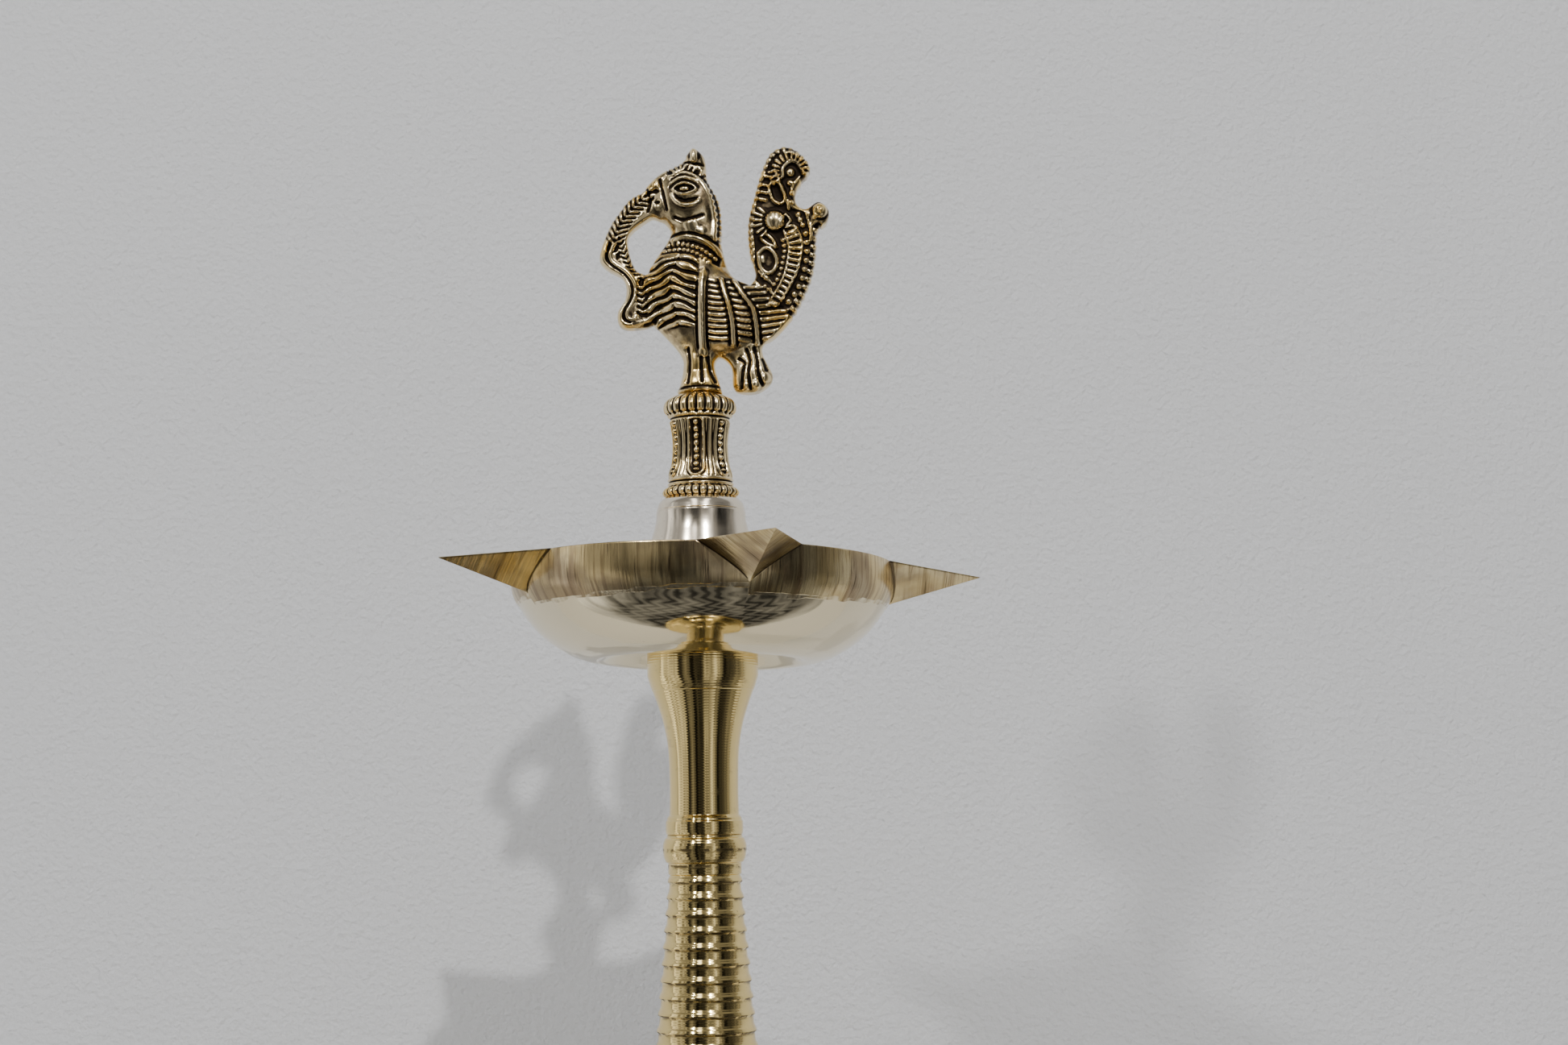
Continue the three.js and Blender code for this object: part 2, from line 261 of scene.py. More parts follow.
def pan_brass(nodes, place):
    """Pale polished pan below, belt ground walls and spouts above."""
    look = finishes()
    grain = nodes.add("ShaderNodeUVMap", {"uv_map": "grain"})
    ground = nodes.add("ShaderNodeAttribute", {"attribute_name": "ground"}, None, "Fac")
    edge = nodes.noise(place, 260, 3.0)
    mask = (ground + (edge - 0.5) * 0.5).between(0.42, 0.58)
    marks = nodes.noise(grain, 1, 3.0, (1300, 90, 1))
    broad = nodes.noise(grain, 1, 2.0, (330, 60, 1))
    patches = nodes.noise(place, 95, 3.0)
    cuts = marks.between(0.54, 0.70) * broad.between(0.42, 0.62)
    seam = nodes.add("ShaderNodeAttribute", {"attribute_name": "seam"}, None, "Fac")
    cuts = cuts.math("MAXIMUM", (seam + (edge - 0.5) * 0.3).between(0.80, 0.95))
    haze = nodes.noise(place, 700, 4.0)
    specks = nodes.noise(place, 1600, 2.0).between(0.70, 0.76) * patches.between(0.45, 0.62)
    rings = nodes.noise(place, 1, 1.0, (30, 30, 900))
    lines = nodes.noise(grain, 1, 2.0, (720, 45, 1))
    belt = nodes.blend(patches.between(0.42, 0.62), rgb(look.ground), (0.86, 0.72, 0.42, 1))
    belt = nodes.blend(broad.between(0.50, 0.72) * 0.65, belt, (0.36, 0.25, 0.15, 1))
    belt = nodes.blend(lines.between(0.48, 0.62) * 0.6, belt, (0.30, 0.21, 0.10, 1))
    scorch = nodes.noise(place, 42, 4.0).between(0.46, 0.60)
    belt = nodes.blend(scorch * 0.62, belt, (0.20, 0.15, 0.11, 1))
    belt = nodes.blend(cuts * 0.9, belt, (0.10, 0.07, 0.04, 1))
    fine = nodes.blend(specks * 0.6, rgb(look.pan), (0.30, 0.22, 0.12, 1))
    colour = nodes.blend(mask, fine, belt)
    rough = mask * (0.13 + broad * 0.20) + (1 - mask) * (0.035 + haze * 0.07)
    height = (mask * (marks * 3.0 + lines * 6.0 + broad * 4.0 - cuts * 2.0)
              + (1 - mask) * (haze * 0.35 + rings * 0.3))
    return {"colour": colour, "roughness": rough, "height": height, "depth": 0.0000085}


def silvered_brass(nodes, place):
    """Pale plated sleeve, softly scratched, with dull smudges."""
    look = finishes()
    lines = nodes.noise(place, 1, 2.0, (60, 60, 1500))
    smudge = nodes.noise(place, 170, 4.0)
    specks = nodes.noise(place, 1500, 2.0).between(0.70, 0.76)
    colour = nodes.blend(smudge.between(0.45, 0.7) * 0.5, rgb(look.silvered),
                         (0.70, 0.60, 0.46, 1))
    colour = nodes.blend(specks * 0.5, colour, (0.25, 0.2, 0.15, 1))
    return {"colour": colour, "roughness": 0.07 + smudge * 0.18,
            "height": lines + smudge * 2.0, "depth": 0.000004}


def aged_brass(nodes, place):
    """Antique cast brass: blackened hollows, rubbed pale and golden high places."""
    look = finishes()
    wear = nodes.add("ShaderNodeAttribute", {"attribute_name": "wear"}, None, "Fac")
    grime = nodes.noise(place, 620, 4.0)
    broad = nodes.noise(place, 110, 3.0)
    cast = nodes.noise(place, 1500, 3.0)
    worn = wear + (grime - 0.5) * 0.5 + (broad - 0.5) * 0.5
    bare = worn.between(0.20, 0.52)
    bright = worn.between(0.42, 0.78)
    gold = nodes.noise(place, 75, 2.0).between(0.50, 0.60)
    high = nodes.blend(gold * 0.8, rgb(look.aged), rgb(look.gilt))
    high = nodes.blend(bright, (0.34, 0.26, 0.15, 1), high)
    colour = nodes.blend(bare, rgb(look.patina), high)
    return {"colour": colour, "roughness": 0.42 - bare * 0.26 + grime * 0.08,
            "height": cast * 1.0 + grime * 2.2, "depth": 0.00002}


def screw_metal(nodes, place):
    """Cut threads, darker in the roots than on the crests."""
    look = finishes()
    x, y = nodes.parts(place)[:2]
    radius = (x * x + y * y) ** 0.5
    crest = radius.between(0.0042, 0.00455)
    grease = nodes.noise(place, 900, 3.0)
    colour = nodes.blend(crest, (0.10, 0.085, 0.06, 1), rgb(look.steel))
    return {"colour": colour, "roughness": 0.28 + grease * 0.25, "height": grease,
            "depth": 0.00001}


def paint(name, colour, scale, depth):
    """Matt wall or floor paint with a faint roller texture."""
    def write(nodes, place):
        stipple = nodes.noise(place, scale, 5.0)
        shade = nodes.blend(nodes.noise(place, 6, 3.0), tuple(0.97 * c for c in colour) + (1,),
                            tuple(min(1, 1.02 * c) for c in colour) + (1,))
        return {"colour": shade, "roughness": 0.9 + stipple * 0.05, "metallic": 0.0,
                "height": stipple, "depth": depth}
    return metal(name, write)


# ------------------------------------------------------------------ mesh helpers

def catmull(points, steps):
    """A smooth run of points through the given ones."""
    given = [np.array(p, float) for p in points]
    last = len(given) - 1
    run = []
    for i in range(steps + 1):
        at = i / steps * last
        k = min(int(at), last - 1)
        t = at - k
        a, b = given[max(k - 1, 0)], given[k]
        c, d = given[k + 1], given[min(k + 2, last)]
        if k == 0:
            a = b
        if k == last - 1:
            d = c
        run.append(0.5 * (2 * b + (c - a) * t + (2 * a - 5 * b + 4 * c - d) * t ** 2
                          + (3 * b - a - 3 * c + d) * t ** 3))
    return [tuple(p) for p in run]


def eased(profile, radius):
    """The profile with its corners broken to a small radius."""
    points = [np.array(p, float) for p in profile]
    out = [points[0]]
    for before, here, after in zip(points, points[1:], points[2:]):
        back, ahead = before - here, after - here
        back_len, ahead_len = np.linalg.norm(back), np.linalg.norm(ahead)
        back, ahead = back / back_len, ahead / ahead_len
        if np.dot(back, ahead) < -0.9 or here[0] < 1e-6:
            out.append(here)
            continue
        cut = min(radius, 0.35 * back_len, 0.35 * ahead_len)
        if back_len > 4 * cut:
            out.append(here + back * cut * 2.2)
        for t in (0, 0.35, 0.65, 1):
            out.append((1 - t) ** 2 * (here + back * cut) + 2 * t * (1 - t) * here
                       + t ** 2 * (here + ahead * cut))
        if ahead_len > 4 * cut:
            out.append(here + ahead * cut * 2.2)
    out.append(points[-1])
    return [tuple(p) for p in out]


def revolved(profile, steps):
    """Corners and faces of a turned piece; the profile ends on the axis or meets itself."""
    angles = np.arange(steps) / steps * TURN
    corners = [(r * math.cos(a), r * math.sin(a), z) for r, z in profile for a in angles]
    faces = []
    for row in range(len(profile) - 1):
        for i in range(steps):
            j = (i + 1) % steps
            faces.append((row * steps + i, row * steps + j,
                          (row + 1) * steps + j, (row + 1) * steps + i))
    return corners, faces


def raw_mesh(name, corners, faces):
    """A mesh from corners in millimetres."""
    mesh = bpy.data.meshes.new(name)
    mesh.from_pydata([tuple(c * MM for c in corner) for corner in corners], [], faces)
    return mesh


def cleaned(mesh, weld=None, thinnest=None):
    """The mesh with its faces turned out and shaded smooth. Corners closer than weld are
    merged, and edges shorter than thinnest are closed up, both in metres."""
    form = bmesh.new()
    form.from_mesh(mesh)
    if weld:
        bmesh.ops.remove_doubles(form, verts=form.verts, dist=weld)
    if thinnest:
        bmesh.ops.dissolve_degenerate(form, edges=form.edges, dist=thinnest)
    bmesh.ops.recalc_face_normals(form, faces=form.faces)
    for face in form.faces:
        face.smooth = True
    form.to_mesh(mesh)
    form.free()
    return mesh


def marked(mesh, name, values):
    """Stores one value for each corner, for the materials to read."""
    layer = mesh.attributes.new(name, "FLOAT", "POINT")
    layer.data.foreach_set("value", np.array(values, np.float32))


def joined(name, meshes):
    """One mesh holding several closed shells."""
    form = bmesh.new()
    for mesh in meshes:
        form.from_mesh(mesh)
        bpy.data.meshes.remove(mesh)
    whole = bpy.data.meshes.new(name)
    form.to_mesh(whole)
    form.free()
    return whole


def sharpen(mesh, degrees):
    """Marks every edge that turns by more than this as sharp."""
    form = bmesh.new()
    form.from_mesh(mesh)
    limit = math.radians(degrees)
    for edge in form.edges:
        edge.smooth = len(edge.link_faces) != 2 or edge.calc_face_angle(0) < limit
    form.to_mesh(mesh)
    form.free()


def place_piece(name, mesh, material, body, nodes):
    """Puts a finished mesh in the lamp in place of its CAD nodes."""
    mesh.materials.clear()
    mesh.materials.append(material)
    piece = bpy.data.objects.new(name, mesh)
    bpy.context.scene.collection.objects.link(piece)
    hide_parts(*nodes)
    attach(piece, body)
    return piece


def turned_mesh(name, profile):
    edge = sizes().edge / MM
    corners, faces = revolved(eased(profile, edge), sizes().turned_steps)
    return cleaned(raw_mesh(name, corners, faces), WELD, THINNEST)


# ------------------------------------------------------------------ rule-shaped pieces

def rule_tree(name, labels):
    """An empty shape tree with named sizes, and the sockets that carry them."""
    tree = bpy.data.node_groups.new(name, "GeometryNodeTree")
    for label in labels:
        tree.interface.new_socket(label, in_out="INPUT", socket_type="NodeSocketFloat")
    tree.interface.new_socket("Geometry", in_out="OUTPUT", socket_type="NodeSocketGeometry")
    nodes = Nodes(tree)
    given = tree.nodes.new("NodeGroupInput")
    return tree, nodes, {label: Socket(nodes, given.outputs[label]) for label in labels}


def finish_tree(nodes, shape, material):
    real = nodes.add("GeometryNodeRealizeInstances", None, {0: shape})
    coated = nodes.add("GeometryNodeSetMaterial", None, {0: real, "Material": material})
    nodes.add("NodeGroupOutput", None, {0: coated})


def around(nodes, length_, rows, steps, base, radius_of):
    """A closed bar whose radius at each point comes from radius_of(height, angle)."""
    bar = nodes.add("GeometryNodeMeshCylinder", {"fill_type": "NGON"},
                    {"Vertices": steps, "Side Segments": rows, "Radius": 1.0, "Depth": length_},
                    "Mesh")
    x, y, z = nodes.parts(nodes.add("GeometryNodeInputPosition"))
    height = z + length_ * 0.5 + base
    radius = radius_of(height, y.math("ARCTAN2", x))
    place = nodes.add("ShaderNodeCombineXYZ", None, {0: x * radius, 1: y * radius, 2: height})
    moved = nodes.add("GeometryNodeSetPosition", None, {"Geometry": bar, "Position": place})
    return nodes.add("GeometryNodeSetShadeSmooth", None, {"Geometry": moved, "Shade Smooth": True})


def grown(tree, values):
    """Runs a shape tree with these sizes and returns a plain mesh."""
    host = bpy.data.objects.new("host", bpy.data.meshes.new("host"))
    bpy.context.scene.collection.objects.link(host)
    modifier = host.modifiers.new("shape", "NODES")
    modifier.node_group = tree
    for item in tree.interface.items_tree:
        if item.in_out == "INPUT":
            modifier[item.identifier] = values[item.name]
    ready = host.evaluated_get(bpy.context.evaluated_depsgraph_get())
    mesh = bpy.data.meshes.new_from_object(ready)
    host.modifiers.clear()
    bpy.data.objects.remove(host)
    return mesh


def ridged_cone_tree(material):
    """The tapering stem: at each pitch a crest, an undercut below it and a flare to the next."""
    tree, nodes, size = rule_tree("ridged_cone", (
        "Top height", "Bottom height", "Ridge top", "Top radius", "Taper", "Pitch", "Depth"))

    def radius_of(height, angle):
        below = size["Ridge top"] - height
        phase = (below / size["Pitch"]).math("FRACT")
        crest = (1 - phase.between(0.02, 0.16)).math("MAXIMUM", phase.between(0.52, 0.98))
        return size["Top radius"] + below * size["Taper"] - size["Depth"] * (1 - crest)

    span = size["Top height"] - size["Bottom height"]
    finish_tree(nodes, around(nodes, span, 620, 144, size["Bottom height"], radius_of), material)
    return tree


def thread_tree(material):
    """A threaded bar with its ends run out to a chamfer."""
    tree, nodes, size = rule_tree("screw_thread", (
        "Bottom height", "Length", "Radius", "Pitch", "Depth", "Chamfer"))

    def radius_of(height, angle):
        up = height - size["Bottom height"]
        phase = (height / size["Pitch"] - angle * (1 / TURN)).math("FRACT")
        flank = ((phase - 0.5).math("ABSOLUTE") * 2.6 - 0.15).math("MAXIMUM", 0)
        root = flank.math("MINIMUM", 1) * size["Depth"]
        ends = up.math("MINIMUM", size["Length"] - up)
        chamfer = (size["Chamfer"] - ends).math("MAXIMUM", 0)
        return size["Radius"] - root - chamfer

    finish_tree(nodes, around(nodes, size["Length"], 230, 36, size["Bottom height"], radius_of),
                material)
    return tree


# ------------------------------------------------------------------ foot and stems

def base_z():
    return top("foot") + GAP


def stem_z():
    return top("lower_stem") + GAP


def top_of_ridges():
    """Height of the uppermost ridge's crest."""
    return stem_z() - 12.4


def bore(face, way):
    """The hole for a screw, from its mouth in a face to the axis."""
    end = face + way * BORE_DEPTH
    return [(STUD_BORE, face), (STUD_BORE, end), (0, end)]


def foot_profile():
    face = base_z() - SEAM
    return [
        *catmull([(0, 44), (14, 42), (34, 35), (52, 26), (64, 15), (67, 6)], 24),
        (73.6, 3), (74.9, 0), (79, 0), (80, 1), (80, 7), (78, 9), (74.6, 10.2), (72, 11),
        (72, 12.4), (73, 12.8), (73, 13.6), (72, 14.2),
        *catmull([(69, 15), (65, 24), (56, 33), (44, 39.5)], 20),
        (44, 41.4), (43, 42), (41.6, 42), (41, 44),
        *catmull([(38, 44), (28, 53), (20, 66), (15.5, 82), (15, 92), (17, 99)], 30),
        (17.6, 99.6), (21, 101), (22, 104), (22, 108.5), (21, face),
        *bore(face, -1),
    ]


def knob_profile():
    bottom = base_z() + SEAM
    return [
        *reversed(bore(bottom, 1)), (21, bottom), (22, 111.5),
        (21, 114), (17, 115.4), (16, 116),
        *catmull([(15, 118), (20, 121), (24, 128), (24, 133), (20, 140), (15.5, 143)], 28),
        (15.5, 144.6), (20, 146), (21.5, 148), (21, 151), (19, 152.5), (17, 153), (0, 153),
    ]


def ring_profile():
    top_face = stem_z() - SEAM
    return [
        (0, 257.4), (9.9, 257.4), (9.9, 260.4),
        *catmull([(10.5, 260.7), (11.05, 262), (11.3, 264), (11.25, 265.4), (10.75, 267)], 10),
        (10.2, 267.3), (10.2, top_face), *bore(top_face, -1),
    ]


def upper_stem_profile():
    bottom, face = stem_z() + SEAM, NECK_Z - SEAM
    return [
        *reversed(bore(bottom, 1)), (10.3, bottom), (10.5, 269.2),
        (10.45, 271.6), (10.1, 272), (10.1, 272.5), (9.7, 273),
        *catmull([(9.4, 273.4), (9.3, 281), (9.6, 290.5), (10.6, 297), (12, 302),
                  (13.7, 306.8)], 26),
        (13.95, 307.0), (13.95, 307.4), (14.15, 307.7), (15.1, 310.8), (15.1, face - 0.8),
        (14.4, face), *bore(face, -1),
    ]


class LAMP_OT_foot(bpy.types.Operator):
    """Makes the hollow bell foot"""
    bl_idname = "lamp.foot"
    bl_label = "Bell foot"

    def execute(self, context):
        brass = bpy.data.materials["lathe_brass"]
        place_piece("bell_foot", turned_mesh("bell_foot", foot_profile()), brass,
                    "foot", ["foot"])
        return {"FINISHED"}


class LAMP_OT_lower_stem(bpy.types.Operator):
    """Makes the ridged stem with its knob and top ring"""
    bl_idname = "lamp.lower_stem"
    bl_label = "Ridged stem"

    def execute(self, context):
        brass = bpy.data.materials["ridged_brass"]
        cone = grown(ridged_cone_tree(brass), {
            "Top height": 0.2608, "Bottom height": 0.1524, "Ridge top": top_of_ridges() * MM,
            "Top radius": 0.0101, "Taper": 0.084, "Pitch": sizes().ridge_pitch,
            "Depth": sizes().ridge_depth})
        parts = [cone, turned_mesh("knob", knob_profile()), turned_mesh("ring", ring_profile())]
        place_piece("ridged_stem", joined("ridged_stem", parts), brass,
                    "lower_stem", ["lower_stem"])
        return {"FINISHED"}


class LAMP_OT_upper_stem(bpy.types.Operator):
    """Makes the waisted stem with the wide collar under the bowl"""
    bl_idname = "lamp.upper_stem"
    bl_label = "Waisted stem"

    def execute(self, context):
        brass = bpy.data.materials["lathe_brass"]
        place_piece("waisted_stem", turned_mesh("waisted_stem", upper_stem_profile()), brass,
                    "upper_stem", ["upper_stem"])
        return {"FINISHED"}


class LAMP_OT_screws(bpy.types.Operator):
    """Cuts the threads of the three studs and of the finial's rod"""
    bl_idname = "lamp.screws"
    bl_label = "Joining screws"

    def execute(self, context):
        steel = bpy.data.materials["screw_metal"]
        tree = thread_tree(steel)
        rows = (("foot_stud", "foot_stud"), ("stem_stud", "stem_stud"),
                ("neck_stud", "neck_stud"), ("finial_rod", "sleeve"))
        for node, body in rows:
            low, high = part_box(node)
            mesh = grown(tree, {
                "Bottom height": low.z, "Length": high.z - low.z, "Radius": high.x,
                "Pitch": sizes().thread_pitch, "Depth": sizes().thread_depth,
                "Chamfer": 0.0006})
            place_piece(node + "_thread", mesh, steel, body, [node])
        return {"FINISHED"}


# ------------------------------------------------------------------ bowl

RIM = 52.2
SPOUT_TIP = 76.5
SPOUT_HALF = 14.2
SPOUT_KEEL = 10.2
SPOUTS = ((-74.5, 0), (1.5, 2.6), (69.5, 1.8), (138, 2), (207, 2.4))  # direction, tip's drop
LEAN = Vector((0.018, 0.04, 1)).normalized()
RIM_Z = 20.9                 # pan rim above the joint with the stem
SPOUT_ROOT = math.sqrt(RIM ** 2 - SPOUT_HALF ** 2)
KEEL_RUN = (SPOUT_TIP - 51.0) / SPOUT_KEEL
WEDGE_COLUMNS = 9
BAND_COLUMNS = 28
CHANNEL_REACH = -12          # rows lower than this run straight past the spouts
GRAIN_RADIUS = 52            # where the grinding marks' running length is measured
GROUND_DOWN_TO = -12.2       # lower edge of the ground band, from the rim
GROUND_FADE = 0.7
PAN_WELD = 2e-7              # metres: the spouts' keels come very thin
CREASE = 24                  # degrees


def pan_rows():
    """Each row of the pan: radius, height from the rim, inset of the spouts, lean, ground."""
    outside = catmull([(35.5, -24.8), (40.6, -21.9), (45.4, -17.9), (49, -13.2), (51.9, -7.9),
                       (RIM, 0)], 160)
    radii = [r for r, h in outside]
    heights = [h for r, h in outside]
    seat = RIM_Z
    rows = [(0, 11.35 - seat, 0, 0), (5, 11.35 - seat, 0, 0), (5, 0.4 - seat, 0, 0),
            (5.3, SEAM - seat, 0, 0), (16.6, SEAM - seat, 0, 0), (17, -0.2 - seat, 0, 0.2),
            (17.3, -1.0 - seat, 0, 0.8), (18, -1.3 - seat, 0, 1)]
    ring = catmull([(18.6, -22.3), (22, -22.4), (24.4, -24.2), (26.6, -25.8), (28.2, -26.25),
                    (29.4, -26.25), (31.8, -25.9), (35.5, -24.8)], 30)
    rows += [(r, h, 0, 1) for r, h in ring]
    steps = np.concatenate([np.linspace(-24.2, -10.6, 26), np.linspace(-10.3, -0.9, 14),
                            [-0.55, -0.3]])
    rows += [(float(np.interp(h, heights, radii)), float(h), 0, 1) for h in steps]
    rows += [(RIM - 0.09, -0.09, 0.09, 1), (RIM - 0.3, 0, 0.3, 1), (RIM - 0.7, 0, 0.7, 1),
             (RIM - 1.6, 0, 1.1, 1), (RIM - 2.2, 0, 1.5, 1), (RIM - 2.5, -0.1, 1.7, 1),
             (RIM - 2.6, -0.4, 1.8, 1)]
    inside = catmull([(49.5, -0.4), (49.2, -5.3), (46.4, -10.6), (42.8, -15.3), (38, -19.2),
                      (32.6, -21.6), (27.6, -22.4), (22.4, -19.4), (18.4, -18.75)], 60)
    rows += [(r, h, 1.8, 1) for r, h in inside[1:]]
    rows += [(17.3, 2.2 - seat, 0, 0.9), (17, 3.1 - seat, 0, 0.1), (16.7, 3.35 - seat, 0, 0),
             (9.3, 3.35 - seat, 0, 0), (9, 3.8 - seat, 0, 0), (9, 23.6 - seat, 0, 0),
             (8.6, 24 - seat, 0, 0), (5.4, 24 - seat, 0, 0), (5, 23.6 - seat, 0, 0),
             (5, 12.8 - seat, 0, 0), (0, 12.8 - seat, 0, 0)]
    return rows


def row_points(radius, height, inset):
    """One ring of the pan, running out along both sides of each spout that the row meets.
    Gives x, y, droop, the running length used for the grinding marks and 1 at a spout's root."""
    spread = inset / (SPOUT_HALF / math.hypot(SPOUT_TIP - SPOUT_ROOT, SPOUT_HALF))
    keel = SPOUT_TIP + KEEL_RUN * min(height, 0) - spread
    slope = np.array([SPOUT_ROOT - SPOUT_TIP, SPOUT_HALF])
    slope = slope / np.linalg.norm(slope)
    thin = min(0.004, 0.3 / max(radius, 1))
    half = thin
    in_spout = radius > 20 and height > CHANNEL_REACH and keel > radius + 0.02
    if in_spout:
        dot = keel * slope[0]
        reach = -dot - math.sqrt(max(dot * dot - (keel ** 2 - radius ** 2), 0))
        half = max(math.atan2(reach * slope[1], keel + reach * slope[0]), thin)
    seam = np.array([radius * math.cos(half), radius * math.sin(half)])
    tip = np.array([keel, 0.0]) if in_spout else np.array([radius, 0.0])
    size = np.linalg.norm(tip - seam)
    lip = min(0.3, 0.2 * size)
    cuts = np.concatenate([[0, lip], np.linspace(lip, size - lip, WEDGE_COLUMNS - 1)[1:-1],
                           [size - lip, size]]) / max(size, 1e-9)
    if in_spout:
        tip = tip - np.array([min(0.12, 0.1 * size), 0])
    out = []
    for number, (degrees, droop) in enumerate(SPOUTS):
        axis = math.radians(degrees)
        after = math.radians(SPOUTS[(number + 1) % len(SPOUTS)][0])
        sector = (after - axis) % TURN
        side = []
        for f in cuts:
            side.append(seam + (tip - seam) * f if f < 1 else tip)
        local = [(s, -t) for s, t in side] + [(s, t) for s, t in reversed(side[:-1])]
        for count, (s, t) in enumerate(local):
            drop = droop * min(max((s - SPOUT_ROOT) / (SPOUT_TIP - SPOUT_ROOT), 0), 1)
            root = in_spout and min(count, len(local) - 1 - count) < 2
            out.append((s * math.cos(axis) - t * math.sin(axis),
                        s * math.sin(axis) + t * math.cos(axis), drop * in_spout, s, float(root)))
        for k in range(1, BAND_COLUMNS):
            angle = axis + half + (sector - 2 * half) * k / BAND_COLUMNS
            out.append((radius * math.cos(angle), radius * math.sin(angle), 0,
                        GRAIN_RADIUS * angle, 0.0))
    return out


def bowl_mesh():
    turn = Vector((0, 0, 1)).rotation_difference(LEAN).to_matrix()
    rows = pan_rows()
    corners, ground, grain, seams = [], [], [], []
    for radius, height, inset, lean in rows:
        for x, y, drop, run, root in row_points(radius, height, inset):
            upright = Vector((x, y, RIM_Z + height - drop))
            place = upright.lerp(turn @ upright, lean)
            corners.append((place.x, place.y, place.z + NECK_Z))
            ground.append(height)
            grain.append((run, height))
            seams.append(root)
    wide = len(corners) // len(rows)
    rim_row = max(range(len(rows)), key=lambda k: (rows[k][1] == 0, -k))
    faces, uvs = [], []
    sector_columns = wide // len(SPOUTS)
    for row in range(len(rows) - 1):
        for i in range(wide):
            j = (i + 1) % wide
            face = (row * wide + i, row * wide + j, (row + 1) * wide + j, (row + 1) * wide + i)
            faces.append(face)
            if i % sector_columns < 2 * WEDGE_COLUMNS:
                uvs.append([grain[c] for c in face])
            else:
                runs = [math.atan2(corners[c][1], corners[c][0]) for c in face]
                if max(runs) - min(runs) > math.pi:
                    runs = [a + TURN if a < 0 else a for a in runs]
                uvs.append([(GRAIN_RADIUS * a, grain[c][1]) for a, c in zip(runs, face)])
    mesh = raw_mesh("pan_with_spouts", corners, faces)
    layer = mesh.uv_layers.new(name="grain")
    layer.data.foreach_set("uv", np.array([c * MM for face in uvs for uv in face for c in uv]))
    values = []
    for index, height in enumerate(ground):
        row, column = divmod(index, wide)
        outside = row <= rim_row + 3
        boundary = GROUND_DOWN_TO + math.cos(TURN * (column % sector_columns) / sector_columns)
        values.append(1.0 if outside and height > boundary + GROUND_FADE else
                      (0.5 if outside and height > boundary - GROUND_FADE else 0.0))
    marked(mesh, "ground", values)
    marked(mesh, "seam", seams)
    cleaned(mesh, PAN_WELD, THINNEST)
    sharpen(mesh, CREASE)
    return mesh


class LAMP_OT_bowl(bpy.types.Operator):
    """Makes the oil bowl: round pan, five pointed spouts with their channels, foot ring, boss"""
    bl_idname = "lamp.bowl"
    bl_label = "Oil bowl"

    def execute(self, context):
        brass = bpy.data.materials["pan_brass"]
        place_piece("pan_with_spouts", bowl_mesh(), brass, "bowl", ["oil_bowl"])
        return {"FINISHED"}


# ------------------------------------------------------------------ sleeve

def sleeve_profile():
    low, high = foot_of("finial_sleeve"), top("finial_sleeve")
    return [
        (10, low), (15, low), (15, 340),
        *catmull([(14.95, 341), (14.6, 344), (13.9, 347), (13.1, 350)], 8),
        (12.3, 353.0), (12.2, 355.6), (12.0, 355.75), (12.0, 356.0), (12.1, 356.2),
        *catmull([(11.9, 356.8), (11.5, 357.9), (10.7, 358.9), (9.6, high)], 8),
        (5, high), (5, 352), (10, 350), (10, low),
    ]


class LAMP_OT_sleeve(bpy.types.Operator):
    """Makes the plain silvered sleeve between bowl and finial"""
    bl_idname = "lamp.sleeve"
    bl_label = "Silvered sleeve"

    def execute(self, context):
        silver = bpy.data.materials["plated_brass"]
        place_piece("silvered_sleeve", turned_mesh("silvered_sleeve", sleeve_profile()), silver,
                    "sleeve", ["finial_sleeve"])
        return {"FINISHED"}


# ------------------------------------------------------------------ cast relief

def soft(field, low, high):
    """0 below low, 1 above high, smooth between."""
    t = np.clip((field - low) / (high - low), 0, 1)
    return t * t * (3 - 2 * t)


def blurred(field, cells):
    """Gaussian blur by the given number of cells."""
    down = np.fft.fftfreq(field.shape[0])[:, None]
    across = np.fft.rfftfreq(field.shape[1])[None, :]
    keep = np.exp(-2 * (math.pi * cells) ** 2 * (down ** 2 + across ** 2))
    return np.fft.irfft2(np.fft.rfft2(field) * keep, s=field.shape)


